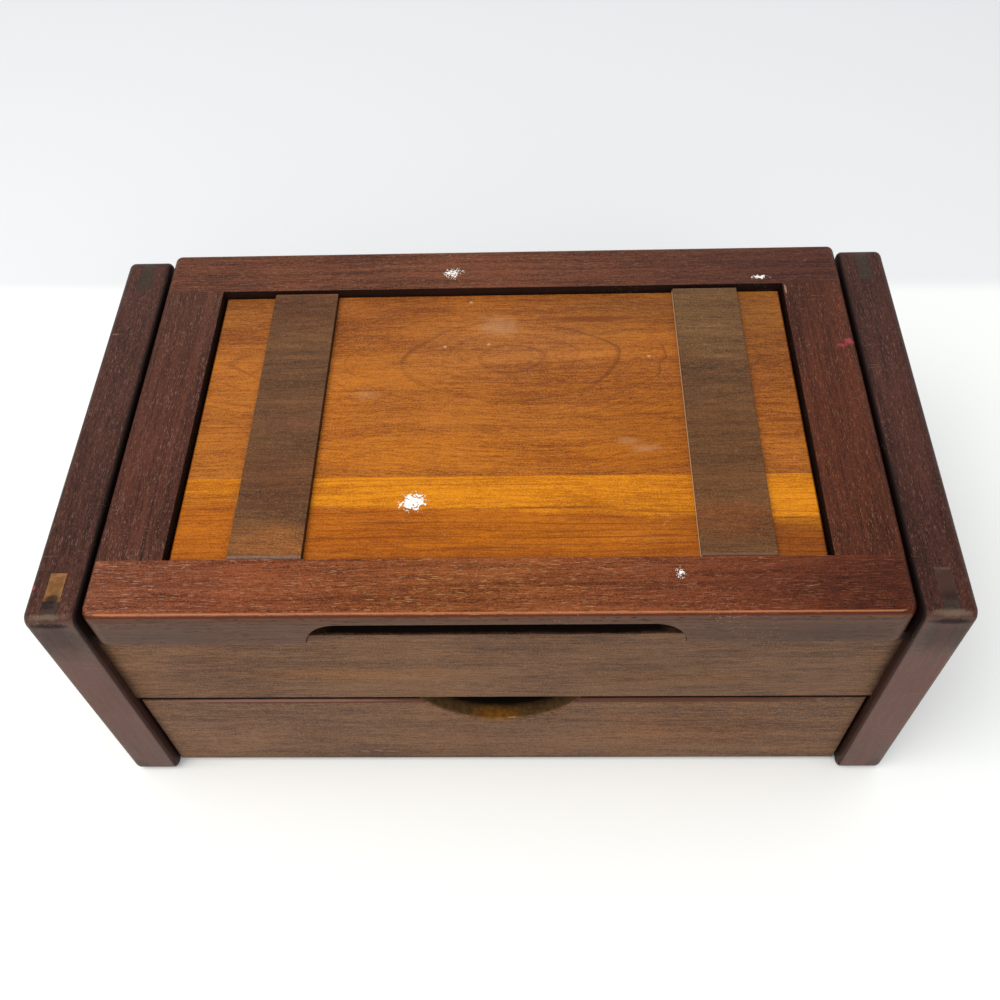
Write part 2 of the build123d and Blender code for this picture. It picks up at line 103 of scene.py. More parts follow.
class BoxColours(bpy.types.PropertyGroup):
    """The colours of the woods, cloth, metal and floor."""

    frame_light: colour_setting("Frame wood", "Lightest tone of the end frames", 82, 48, 38)
    frame_dark: colour_setting("Frame wood, dark", "Darkest tone of the end frames", 36, 19, 14)
    frame_pore: colour_setting("Frame wood pores", "Short pale pores filled with polish", 150, 118, 100)
    frame_end: colour_setting("Frame end grain", "Grey, worn end grain of the frame joints", 62, 52, 44)
    frame_front: colour_setting("Frame fronts", "Purple-grey front faces of the end frames", 108, 82, 74)
    # Dark brown: painted shade on the end frames' inner faces near their fronts, and dirt on the right
    # tenon.
    frame_inside: colour_setting("Frame insides", "Dark inner faces of the end frames", 56, 33, 26)
    frame_edge: colour_setting("Frame edges", "Greenish-grey rounded outer edges", 62, 50, 42)
    # Worn top edges of the end frames, lightened also as a painted highlight on their rounding.
    worn_edge_and_highlight: colour_setting("Worn edges", "Rubbed front and back edges of the end frames", 112, 94, 78)
    # Dark dirt on the tenon tops, also used as painted shade on inner faces, recess walls, band sides and
    # corners beside the posts.
    dirt_and_shade: colour_setting("Dirt", "Dark dirt in the corners", 20, 12, 10)
    # Nearly black painted shade for the finger slot, the gap above the drawer and the back of the scoop.
    black_shade: colour_setting("Black dirt", "Nearly black dirt in gaps and finger holds", 15, 10, 8)
    tenon_tan: colour_setting("Bare tenon", "Tan end grain where the polish has gone", 142, 98, 58)
    lid_light: colour_setting("Lid rails", "Lightest tone of the lid's back rail and stiles", 90, 49, 36)
    lid_dark: colour_setting("Lid rails, dark", "Darkest tone of the back rail and stiles", 42, 20, 14)
    front_rail_light: colour_setting("Front rail", "Lightest tone of the lid's front rail", 138, 74, 42)
    front_rail_dark: colour_setting("Front rail, dark", "Darkest tone of the front rail", 74, 32, 17)
    front_rail_pore: colour_setting("Front rail pores", "Pale pores of the front rail", 190, 142, 108)
    # A painted highlight along the lid's rounded front edge.
    front_rail_highlight: colour_setting("Front rail edge", "Rubbed front edge of the lid", 176, 110, 72)
    # Grey of the lid's front face: a painted reflection.
    rail_face: colour_setting("Front rail face", "Greyed front face of the lid", 82, 59, 47)
    cherry_light: colour_setting("Cherry", "Lightest tone of the lid panel's main board", 180, 106, 32)
    cherry_dark: colour_setting("Cherry, dark", "Darkest tone of the main board", 112, 54, 14)
    cherry_haze: colour_setting("Cherry haze", "Dull pale patches on the panel", 190, 148, 108)
    golden_light: colour_setting("Golden board", "Bright sapwood along the panel's joint", 216, 134, 16)
    golden_dark: colour_setting("Golden board, dark", "Darkest tone of the front board", 160, 86, 6)
    band_light: colour_setting("Bands", "Lightest tone of the two raised bands", 112, 73, 40)
    band_dark: colour_setting("Bands, dark", "Darkest tone of the bands", 58, 34, 16)
    band_pore: colour_setting("Band flecks", "Pale flecks in the bands", 138, 106, 70)
    # Pale painted light: the right band's left side and small highlights in the drawer's scoop.
    pale_highlight: colour_setting("Band side", "Pale sawn side of the right band", 206, 176, 140)
    # A pinkish painted highlight on the drawer's top edge.
    drawer_edge_highlight: colour_setting("Rubbed drawer edge", "Pinkish edge left of the finger scoop", 120, 82, 68)
    band_end: colour_setting("Band ends", "Pinkish-grey front ends of the bands", 120, 94, 84)
    walnut_light: colour_setting("Walnut", "Lightest tone of the case and drawer fronts", 118, 84, 58)
    walnut_dark: colour_setting("Walnut, dark", "Darkest tone of the fronts", 68, 46, 34)
    walnut_pore: colour_setting("Walnut pores", "Pale flecks in the fronts", 148, 116, 90)
    scoop_end: colour_setting("Scoop ends", "Olive brown wood at the ends of the finger scoop", 84, 62, 36)
    # Golden cut wood, brightened as painted light where the scoop is lit.
    scoop: colour_setting("Scoop", "Golden wood in the drawer's finger scoop", 122, 78, 26)
    box_wood_light: colour_setting("Drawer box wood", "Lightest tone of the drawer's sides", 196, 158, 112)
    box_wood_dark: colour_setting("Drawer box, dark", "Darkest tone of the drawer's sides", 146, 104, 64)
    ply_light: colour_setting("Plywood", "Lightest tone of the thin floors", 214, 182, 138)
    ply_dark: colour_setting("Plywood, dark", "Darkest tone of the thin floors", 170, 132, 86)
    felt: colour_setting("Felt", "Wine-red lining of the compartments and the drawer", 96, 20, 32)
    brass: colour_setting("Brass", "Hinges and their screws", 190, 148, 82)
    steel: colour_setting("Steel", "Screws of the drawer runners", 150, 148, 146)
    paint: colour_setting("Paint marks", "Spots of white paint on the lid", 240, 238, 232)
    pink: colour_setting("Pink mark", "Smear on the lid's right stile", 168, 62, 78)
    floor: colour_setting("Floor", "White table", 250, 251, 249)
    floor_far: colour_setting("Far floor", "Pale grey behind the box", 234, 235, 237)


class BoxSizes(bpy.types.PropertyGroup):
    """The sizes of what is added to the box."""

    smooth_angle: bpy.props.FloatProperty(
        name="Smooth angle", description="Edges flatter than this are shaded as one round face",
        unit="ROTATION", default=math.radians(32))
    felt_ripple: length_setting("Felt ripple", "How far the felt lifts and sinks", 0.22)
    felt_cell: length_setting("Felt mesh", "Distance between the felt's mesh points", 2.0)
    felt_edge: length_setting("Felt edge", "Rounding of the felt's cut edge", 0.45)
    paint_thickness: length_setting("Paint thickness", "Height of the thickest paint spot", 0.22)
    paint_cell: length_setting("Paint mesh", "Distance between the paint spots' mesh points", 0.16)


class StageSettings(bpy.types.PropertyGroup):
    """The camera, the lamps and the floor."""

    lens: bpy.props.FloatProperty(
        name="Lens", description="Focal length for a 36 mm wide picture, in millimetres", default=36.429)
    camera_place: bpy.props.FloatVectorProperty(
        name="Camera", description="Where the camera stands", subtype="XYZ", unit="LENGTH",
        default=(0.014293, -0.290302, 0.410951))
    camera_yaw: bpy.props.FloatProperty(
        name="Turn", description="Camera's turn to the right", unit="ROTATION", default=-0.05838)
    camera_pitch: bpy.props.FloatProperty(
        name="Tilt", description="Camera's tilt, down is negative", unit="ROTATION", default=-1.02897)
    camera_roll: bpy.props.FloatProperty(
        name="Roll", description="Camera's roll about its own line of sight", unit="ROTATION",
        default=-0.05468)
    frame_shift: bpy.props.FloatVectorProperty(
        name="Shift", description="Shift of the picture, because it was cut from a larger one", size=2,
        default=(-0.0053, 0.16))
    floor_half: length_setting("Floor", "Half the width of the floor", 2600)
    far_line: length_setting("Grey line", "How far behind the middle the floor turns grey", 216)
    sky: share_setting("Sky light", "Strength of the even light from all round", 0.74, 3.0)
    key: share_setting("Key lamp", "Power of the soft lamp high on the left, in watts", 10.0, 200.0)
    fill: share_setting("Fill lamp", "Power of the soft lamp in front, in watts", 6.5, 200.0)


def colours():
    return bpy.context.scene.box_colours


def sizes():
    return bpy.context.scene.box_sizes


def stage_settings():
    return bpy.context.scene.box_stage


class Tree:
    """Adds nodes to one node tree and joins them up."""

    def __init__(self, tree):
        self.tree = tree

    def feed(self, socket, value):
        """Joins a socket to a socket, or gives it a fixed value."""
        if isinstance(value, bpy.types.NodeSocket):
            self.tree.links.new(value, socket)
        elif value is not None:
            socket.default_value = value

    def node(self, kind, inputs=None, **settings):
        """A new node with its settings made and its inputs joined."""
        made = self.tree.nodes.new(kind)
        count = len(self.tree.nodes) - 1
        made.location = (200 * (count % 10), -260 * (count // 10))
        for key, value in settings.items():
            setattr(made, key, value)
        for key, value in (inputs or {}).items():
            self.feed(made.inputs[key], value)
        return made

    def math(self, operation, first, second=None, third=None):
        return self.node("ShaderNodeMath", {0: first, 1: second, 2: third}, operation=operation).outputs[0]

    def times(self, first, second, extra=None):
        """The product of two values, plus an extra one where it is given."""
        return self.math("MULTIPLY" if extra is None else "MULTIPLY_ADD", first, second, extra)

    def plus(self, first, second):
        return self.math("ADD", first, second)

    def minus(self, first, second):
        return self.math("SUBTRACT", first, second)

    def over(self, first, second):
        return self.math("DIVIDE", first, second)

    def most(self, first, second):
        return self.math("MAXIMUM", first, second)

    def vector(self, operation, first, second=None):
        made = self.node("ShaderNodeVectorMath", {0: first}, operation=operation)
        if operation == "SCALE":
            self.feed(made.inputs["Scale"], second)
        else:
            self.feed(made.inputs[1], second)
        return made.outputs["Value" if operation in ("LENGTH", "DOT_PRODUCT", "DISTANCE") else "Vector"]

    def split(self, vector):
        return self.node("ShaderNodeSeparateXYZ", {0: vector}).outputs

    def join(self, x, y, z):
        return self.node("ShaderNodeCombineXYZ", {0: x, 1: y, 2: z}).outputs[0]

    def noise(self, vector, scale=1.0, detail=2.0, rough=0.5):
        made = self.node("ShaderNodeTexNoise", {"Vector": vector, "Scale": scale, "Detail": detail,
                                                "Roughness": rough})
        return made.outputs[0]

    def grain(self, place, pace, detail=2.0, rough=0.5):
        """Noise with its own pace along each axis, so that it can run along the grain."""
        return self.noise(self.vector("MULTIPLY", place, pace), 1.0, detail, rough)

    def step(self, value, low, high, start=0.0, end=1.0):
        """A soft step from start to end as value goes from low to high."""
        made = self.node("ShaderNodeMapRange", {"Value": value, "From Min": low, "From Max": high,
                                                "To Min": start, "To Max": end},
                         interpolation_type="SMOOTHSTEP")
        return made.outputs[0]

    def mix(self, share, first, second, blend="MIX"):
        made = self.node("ShaderNodeMix", {0: share, 6: first, 7: second}, data_type="RGBA",
                         blend_type=blend, clamp_factor=True)
        return made.outputs[2]

    def group(self, tree, inputs):
        return self.node("ShaderNodeGroup", inputs, node_tree=tree)


def new_group(name, inputs, outputs, kind="ShaderNodeTree"):
    """An empty node group with its sockets, as the tree, its inputs and its output node."""
    made = bpy.data.node_groups.new(name, kind)
    for socket_name, socket_kind, default in inputs:
        socket = made.interface.new_socket(name=socket_name, in_out="INPUT", socket_type=socket_kind)
        if default is not None:
            socket.default_value = default
    for socket_name, socket_kind in outputs:
        made.interface.new_socket(name=socket_name, in_out="OUTPUT", socket_type=socket_kind)
    tree = Tree(made)
    return tree, tree.node("NodeGroupInput").outputs, tree.node("NodeGroupOutput").inputs


VECTOR, NUMBER, COLOUR = "NodeSocketVector", "NodeSocketFloat", "NodeSocketColor"


def solid_wood_group():
    """Solid wood: rings round a heart, streaks and pores along the grain, and end grain.

    Place is in metres from the tree's heart, with X along the grain.
    """
    tree, given, result = new_group("Solid wood", [
        ("Place", VECTOR, None), ("End facing", NUMBER, 0.0),
        ("Light", COLOUR, None), ("Dark", COLOUR, None), ("Pore", COLOUR, None), ("End", COLOUR, None),
        ("Ring width", NUMBER, 0.004), ("Ring strength", NUMBER, 0.5), ("Line share", NUMBER, 0.33),
        ("Crowding", NUMBER, 0.0), ("Crowded from", NUMBER, 0.03),
        ("Bow", NUMBER, 0.0), ("Bow reach", NUMBER, 0.15),
        ("Wander", NUMBER, 0.002), ("Wobble", NUMBER, 0.0),
        ("Streaks", NUMBER, 1.0), ("Clouds", NUMBER, 1.0),
        ("Pore length", NUMBER, 0.003), ("Pore spacing", NUMBER, 0.0009), ("Pore width", NUMBER, 0.0003),
        ("Pore share", NUMBER, 0.5),
    ], [("Colour", COLOUR), ("Height", NUMBER), ("Openness", NUMBER)])
    place = given["Place"]

    # The grain wanders a little from a straight line.
    drift = tree.vector("MULTIPLY", place, (9.0, 34.0, 34.0))
    side = tree.minus(tree.noise(drift, 1.0, 1.5), 0.5)
    moved = tree.vector("ADD", drift, (7.3, 2.9, 5.1))
    rise = tree.minus(tree.noise(moved, 1.0, 1.5), 0.5)
    x, y, z = tree.split(place)
    y = tree.times(side, given["Wander"], y)
    z = tree.times(rise, given["Wander"], z)

    # Rings close up at the ends of an oval figure, run straight beyond it, and crowd together further out.
    reach = tree.math("TANH", tree.over(x, given["Bow reach"]))
    bowed = tree.times(reach, tree.times(given["Bow"], given["Bow reach"]))
    radius = tree.vector("LENGTH", tree.join(bowed, y, z))
    wobble = tree.grain(place, (26.0, 52.0, 52.0), 2.0, 0.4)
    radius = tree.times(tree.minus(wobble, 0.5), given["Wobble"], radius)
    outer = tree.most(tree.minus(radius, given["Crowded from"]), 0.0)
    ring = tree.times(outer, given["Crowding"], tree.over(radius, given["Ring width"]))
    part = tree.math("FRACT", ring)
    begin = tree.minus(0.95, given["Line share"])
    late = tree.times(tree.step(part, begin, 0.95), tree.step(part, 0.95, 1.0, 1.0, 0.0))
    year = tree.node("ShaderNodeTexWhiteNoise", {"W": tree.math("FLOOR", ring)},
                     noise_dimensions="1D").outputs[0]
    late = tree.times(late, tree.times(year, 0.7, 0.3))
    fading = tree.grain(place, (26.0, 90.0, 90.0), 1.0)
    late = tree.times(late, tree.step(fading, 0.3, 0.6, 0.3, 1.0))
    late = tree.times(late, given["Ring strength"])

    # Long fibres, short ticks, fine speckle and broad clouds of colour.
    warped = tree.join(x, y, z)
    fibre = tree.grain(warped, (45.0, 1100.0, 1100.0), 3.0, 0.65)
    tick = tree.grain(warped, (260.0, 1900.0, 1900.0), 1.0)
    speckle = tree.grain(place, (1500.0, 2100.0, 2100.0), 1.0)
    coarse = tree.grain(warped, (9.0, 170.0, 170.0), 2.0, 0.6)
    streak = 0.0
    for texture, share in ((fibre, 0.5), (tick, 0.42), (speckle, 0.65), (coarse, 0.34)):
        streak = tree.times(tree.step(texture, 0.3, 0.7, -0.5, 0.5), share, streak)
    cloud = tree.step(tree.grain(place, (14.0, 36.0, 36.0)), 0.3, 0.7, -0.5, 0.5)
    depth = tree.times(streak, given["Streaks"], 0.45)
    depth = tree.times(cloud, tree.times(given["Clouds"], 0.3), depth)
    ground = tree.mix(depth, given["Light"], given["Dark"])
    ground = tree.mix(late, ground, tree.mix(0.35, given["Dark"], (0.0, 0.0, 0.0, 1.0)))

    # Two sizes of pores, much longer than wide, some of them empty.
    openness = None
    for size, shown in ((1.0, 1.0), (0.62, 0.8)):
        length = tree.times(given["Pore length"], size)
        spacing = tree.times(given["Pore spacing"], size)
        cell = tree.join(tree.over(x, length), tree.over(y, spacing), tree.over(z, spacing))
        pores = tree.node("ShaderNodeTexVoronoi", {"Vector": cell, "Scale": 1.0, "Randomness": 1.0})
        fate = tree.split(pores.outputs["Color"])
        away = tree.vector("SUBTRACT", cell, pores.outputs["Position"])
        slim = tree.over(tree.times(spacing, 2.0), given["Pore width"])
        long = tree.over(2.1, tree.times(fate[0], 0.6, 0.4))
        mask = tree.step(tree.vector("LENGTH", tree.vector("MULTIPLY", away, tree.join(long, slim, slim))),
                         0.55, 1.1, shown, 0.0)
        mask = tree.times(mask, tree.step(fate[1], 0.15, 0.6))
        openness = mask if openness is None else tree.most(openness, mask)
    patchy = tree.grain(warped, (60.0, 240.0, 240.0), 1.0)
    openness = tree.times(openness, tree.step(patchy, 0.3, 0.6, 0.4, 1.0))
    openness = tree.times(openness, given["Pore share"])
    ground = tree.mix(openness, ground, given["Pore"])

    # Faces across the grain are duller and show the pores cut through.
    end = tree.step(given["End facing"], 0.75, 0.95)
    rubbed = tree.grain(place, (90.0, 260.0, 260.0), 2.0, 0.6)
    end = tree.times(end, tree.step(rubbed, 0.32, 0.52, 0.45, 1.0))
    dots = tree.grain(place, (400.0, 1500.0, 1500.0), 2.0, 0.7)
    cut = tree.mix(tree.step(dots, 0.35, 0.75), given["End"], given["Dark"])
    tree.feed(result["Colour"], tree.mix(end, ground, cut))

    low = tree.times(openness, -1.0)
    height = tree.times(fibre, 0.35, low)
    tree.feed(result["Height"], tree.times(late, 0.2, height))
    tree.feed(result["Openness"], openness)
    return tree.tree


def spot_mask(tree, given):
    """How much of a spot lies at a place: 1 inside, 0 outside, with a soft or ragged edge."""
    away = tree.vector("ABSOLUTE", tree.vector("SUBTRACT", given["Place"], given["Centre"]))
    away = tree.vector("DIVIDE", away, given["Size"])
    sides = tree.split(away)
    square = tree.most(tree.most(sides[0], sides[1]), sides[2])
    round_way = tree.minus(1.0, given["Square"])
    distance = tree.times(square, given["Square"], tree.times(tree.vector("LENGTH", away), round_way))
    rag = tree.minus(tree.noise(given["Place"], given["Grain"], 3.0, 0.6), 0.5)
    distance = tree.times(rag, given["Raggedness"], distance)
    inside = tree.minus(1.0, given["Softness"])
    return tree.times(tree.step(distance, inside, 1.0, 1.0, 0.0), given["Amount"])


SPOT_INPUTS = [
    ("Colour", COLOUR, None), ("Place", VECTOR, None), ("Centre", VECTOR, None),
    ("Size", VECTOR, (0.01, 0.01, 0.01)), ("Tint", COLOUR, None), ("Amount", NUMBER, 1.0),
    ("Softness", NUMBER, 0.3), ("Raggedness", NUMBER, 0.4), ("Grain", NUMBER, 300.0),
    ("Square", NUMBER, 0.0)]


def stain_group():
    """A patch of another colour round a centre."""
    tree, given, result = new_group("Stain", SPOT_INPUTS, [("Colour", COLOUR)])
    tree.feed(result["Colour"], tree.mix(spot_mask(tree, given), given["Colour"], given["Tint"]))
    return tree.tree


def glaze_group():
    """A thin coloured coat that darkens or warms the wood and lets its grain show."""
    tree, given, result = new_group("Glaze", SPOT_INPUTS, [("Colour", COLOUR)])
    mask = spot_mask(tree, given)
    tree.feed(result["Colour"], tree.mix(mask, given["Colour"], given["Tint"], "MULTIPLY"))
    return tree.tree


def facing_group():
    """Another colour on the faces that look one way."""
    tree, given, result = new_group("Facing tint", [
        ("Colour", COLOUR, None), ("Normal", VECTOR, None), ("Direction", VECTOR, None),
        ("Tint", COLOUR, None), ("Amount", NUMBER, 1.0), ("Start", NUMBER, 0.45), ("Full", NUMBER, 0.9),
        ("Grain", NUMBER, 0.17),
    ], [("Colour", COLOUR)])
    along = tree.vector("DOT_PRODUCT", given["Normal"], given["Direction"])
    mask = tree.times(tree.step(along, given["Start"], given["Full"]), given["Amount"])
    shade = tree.step(given["Grain"], -0.1, 0.36, 0.5, 1.4)
    tree.feed(result["Colour"], tree.mix(mask, given["Colour"], tree.vector("SCALE", given["Tint"], shade)))
    return tree.tree


def hand_wear_group():
    """Rubbed rounded edges, fine scratches and a little pale dust."""
    tree, given, result = new_group("Hand wear", [
        ("Colour", COLOUR, None), ("Place", VECTOR, None), ("Normal", VECTOR, None),
        ("Rubbed", COLOUR, None), ("Edge rub", NUMBER, 0.4), ("Scratches", NUMBER, 0.3),
        ("Dust", NUMBER, 0.2),
    ], [("Colour", COLOUR)])
    sides = tree.split(tree.vector("ABSOLUTE", given["Normal"]))
    flat = tree.most(tree.most(sides[0], sides[1]), sides[2])
    spots = tree.step(tree.noise(given["Place"], 90.0, 3.0), 0.35, 0.65)
    rub = tree.times(tree.step(flat, 0.99, 0.8, 0.0, 1.0), spots)
    rub = tree.times(rub, given["Edge rub"])
    line = tree.grain(given["Place"], (26.0, 190.0, 150.0), 0.0)
    thin = tree.step(tree.math("ABSOLUTE", tree.minus(line, 0.5)), 0.0, 0.006, 1.0, 0.0)
    where = tree.step(tree.noise(given["Place"], 75.0, 2.0), 0.58, 0.66)
    scratch = tree.times(tree.times(thin, where), given["Scratches"])
    grains = tree.node("ShaderNodeTexVoronoi", {"Vector": given["Place"], "Scale": 700.0})
    speck = tree.step(grains.outputs["Distance"], 0.16, 0.24, 1.0, 0.0)
    cluster = tree.step(tree.noise(given["Place"], 38.0, 2.0), 0.56, 0.68)
    dust = tree.times(tree.times(speck, cluster), given["Dust"])
    worn = tree.most(rub, tree.most(scratch, dust))
    tree.feed(result["Colour"], tree.mix(worn, given["Colour"], given["Rubbed"]))
    return tree.tree


def shared_group(name):
    """A node group, made the first time that it is asked for."""
    makers = {"Solid wood": solid_wood_group, "Stain": stain_group, "Glaze": glaze_group,
              "Facing tint": facing_group, "Hand wear": hand_wear_group}
    return bpy.data.node_groups.get(name) or makers[name]()


class Finish:
    """One material in the making: its colour can be stained step by step before it is closed."""

    def __init__(self, name):
        self.material = bpy.data.materials.new(name)
        self.material.use_nodes = True
        self.material.node_tree.nodes.clear()
        self.tree = Tree(self.material.node_tree)
        where = self.tree.node("ShaderNodeTexCoord").outputs
        self.place, self.normal = where["Object"], where["Normal"]
        self.colour = self.height = self.openness = None

    def wood(self, light, dark, pore, end, along, heart, **changes):
        """Lays the wood down, with the tree's heart passing through the point heart."""
        turn = Euler(along).to_matrix()
        shift = -(turn @ Vector(heart))
        place = self.tree.node("ShaderNodeMapping", {"Vector": self.place, "Location": shift,
                                                     "Rotation": along}).outputs[0]
        sides = self.tree.split(self.tree.vector("ABSOLUTE", self.normal))
        named = {key.replace("_", " ").capitalize(): value for key, value in changes.items()}
        made = self.tree.group(shared_group("Solid wood"), {
            "Place": place, "End facing": sides[AXIS_OF[along]],
            "Light": light, "Dark": dark, "Pore": pore, "End": end, **named})
        self.colour = made.outputs["Colour"]
        self.height = made.outputs["Height"]
        self.openness = made.outputs["Openness"]
        return self

    def spot(self, group, centre, size, tint, amount, softness, raggedness, grain, square):
        """A stain or glaze round centre; centre and size are in millimetres in the box's own places."""
        made = self.tree.group(shared_group(group), {
            "Colour": self.colour, "Place": self.place, "Centre": Vector(centre) * MM,
            "Size": Vector(size) * MM, "Tint": tint, "Amount": amount, "Softness": softness,
            "Raggedness": raggedness, "Grain": grain, "Square": square})
        self.colour = made.outputs["Colour"]
        return self

    def stain(self, centre, size, tint, amount=1.0, softness=0.4, raggedness=0.4, grain=300.0,
              square=0.0):
        """A patch of tint that covers the wood."""
        return self.spot("Stain", centre, size, tint, amount, softness, raggedness, grain, square)

    def glaze(self, centre, size, coat, amount=1.0, softness=0.8, raggedness=0.3, grain=60.0, square=0.0):
        """A coat that shows the grain; it passes the shares of red, green and blue given by coat."""
        return self.spot("Glaze", centre, size, (*coat, 1.0), amount, softness, raggedness, grain, square)

    def facing(self, direction, tint, amount=1.0, start=0.45, full=0.9):
        """Tints the faces that look along direction."""
        made = self.tree.group(shared_group("Facing tint"), {
            "Colour": self.colour, "Normal": self.normal, "Direction": direction, "Tint": tint,
            "Amount": amount, "Start": start, "Full": full, "Grain": self.height})
        self.colour = made.outputs["Colour"]
        return self

    def wear(self, rubbed, edge=0.35, scratches=0.25, dust=0.2):
        """Wear from hands and years."""
        made = self.tree.group(shared_group("Hand wear"), {
            "Colour": self.colour, "Place": self.place, "Normal": self.normal, "Rubbed": rubbed,
            "Edge rub": edge, "Scratches": scratches, "Dust": dust})
        self.colour = made.outputs["Colour"]
        return self

    def shade(self, colour, roughness, height, strength, depth, **more):
        """Ends the material in a shader whose bumps follow height and are up to depth metres deep."""
        relief = self.tree.node("ShaderNodeBump", {"Strength": strength, "Distance": depth,
                                                   "Height": height})
        shader = self.tree.node("ShaderNodeBsdfPrincipled", {
            "Base Color": colour, "Roughness": roughness, **more, "Normal": relief.outputs[0]})
        self.tree.node("ShaderNodeOutputMaterial", {"Surface": shader.outputs[0]})
        return self.material

    def close(self, rough=0.5, depth=0.0002, specular=0.1):
        """Ends a wood: a little duller in clouds and in its pores."""
        cloud = self.tree.noise(self.place, 45.0, 3.0)
        roughness = self.tree.times(cloud, 0.22, rough - 0.11)
        roughness = self.tree.times(self.openness, 0.16, roughness)
        return self.shade(self.colour, roughness, self.height, 0.6, depth,
                          **{"Specular IOR Level": specular})


def middle(node):
    """The middle of a node's box."""
    low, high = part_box(node)
    return (low + high) / 2


def beside(node, x, y, z):
    """A point that many millimetres from the middle of a node."""
    return middle(node) + Vector((x, y, z)) * MM


def paint_node(node, material):
    """Gives a node its finish and smooth round edges."""
    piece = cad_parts[node]
    for slot in piece.material_slots:
        slot.material = material
    round_off(piece)


def round_off(piece):
    """Shades the piece's fillets as round and its flat faces as flat."""
    modifier = piece.modifiers.new("Round edges", "NODES")
    modifier.node_group = bpy.data.node_groups.get("Round edges") or round_edges_tree()
    socket = modifier.node_group.interface.items_tree["Angle"].identifier
    modifier[socket] = sizes().smooth_angle
    weighted = piece.modifiers.new("Flat faces", "WEIGHTED_NORMAL")
    weighted.keep_sharp = True
    weighted.weight = 100


def round_edges_tree():
    """Geometry nodes that join a piece's loose faces and shade its gentle edges smooth."""
    tree, given, result = new_group(
        "Round edges",
        [("Geometry", "NodeSocketGeometry", None), ("Angle", NUMBER, 0.5)],
        [("Geometry", "NodeSocketGeometry")], "GeometryNodeTree")
    merged = tree.node("GeometryNodeMergeByDistance", {"Geometry": given["Geometry"], "Distance": 1e-6})
    faces = tree.node("GeometryNodeSetShadeSmooth", {"Geometry": merged.outputs[0],
                                                     "Shade Smooth": True}, domain="FACE")
    angle = tree.node("GeometryNodeInputMeshEdgeAngle").outputs[0]
    gentle = tree.node("FunctionNodeCompare", {0: angle, 1: given["Angle"]}, data_type="FLOAT",
                       operation="LESS_THAN").outputs[0]
    edges = tree.node("GeometryNodeSetShadeSmooth", {"Geometry": faces.outputs[0],
                                                     "Shade Smooth": gentle}, domain="EDGE")
    tree.feed(result["Geometry"], edges.outputs[0])
    return tree.tree


def frame_wood(node, along, heart):
    """Dark purple-brown wood with short pale pores, for the end frames."""
    c = colours()
    return Finish(node + " wood").wood(
        c.frame_light, c.frame_dark, c.frame_pore, c.frame_end, along, heart,
        ring_width=0.0034, ring_strength=0.4, wander=0.004, pore_length=0.004, streaks=0.8,
        pore_spacing=0.00084, pore_width=0.00026, pore_share=0.5)


def lid_wood(node, along, heart, share=0.6):
    """The same kind of wood, a little redder, for the lid's stiles and back rail."""
    c = colours()
    return Finish(node + " wood").wood(
        c.lid_light, c.lid_dark, c.frame_pore, c.frame_end, along, heart,
        ring_width=0.003, ring_strength=0.4, wander=0.004, pore_length=0.0038, pore_spacing=0.0008,
        pore_width=0.00026, pore_share=share)


def walnut(node, along, heart):
    """Plain brown walnut with soft streaks."""
    c = colours()
    return Finish(node + " walnut").wood(
        c.walnut_light, c.walnut_dark, c.walnut_pore, c.walnut_dark, along, heart,
        ring_width=0.0052, ring_strength=0.2, wander=0.009, streaks=1.0, clouds=1.1, pore_length=0.003,
        pore_spacing=0.0008, pore_width=0.0003, pore_share=0.35)


def box_wood(node, along, heart):
    """Pale close-grained wood for the drawer's sides and back."""
    c = colours()
    return Finish(node + " pale wood").wood(
        c.box_wood_light, c.box_wood_dark, c.box_wood_dark, c.box_wood_dark, along, heart,
        ring_width=0.0028, ring_strength=0.4, wander=0.003, streaks=0.6, pore_share=0.3)


def plywood(node, drop):
    """Thin birch plywood for a floor, with the tree's heart far below it."""
    c = colours()
    return Finish(node + " plywood").wood(
        c.ply_light, c.ply_dark, c.ply_dark, c.ply_dark, ALONG_X, beside(node, 0, 0, -drop),
        ring_width=0.003, ring_strength=0.3, wander=0.006, streaks=0.5, pore_share=0.2)


def top_of(node):
    """The height of a node's top in millimetres."""
    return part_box(node)[1].z / MM


def front_of(node):
    """The place of a node's front along Y in millimetres."""
    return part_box(node)[0].y / MM


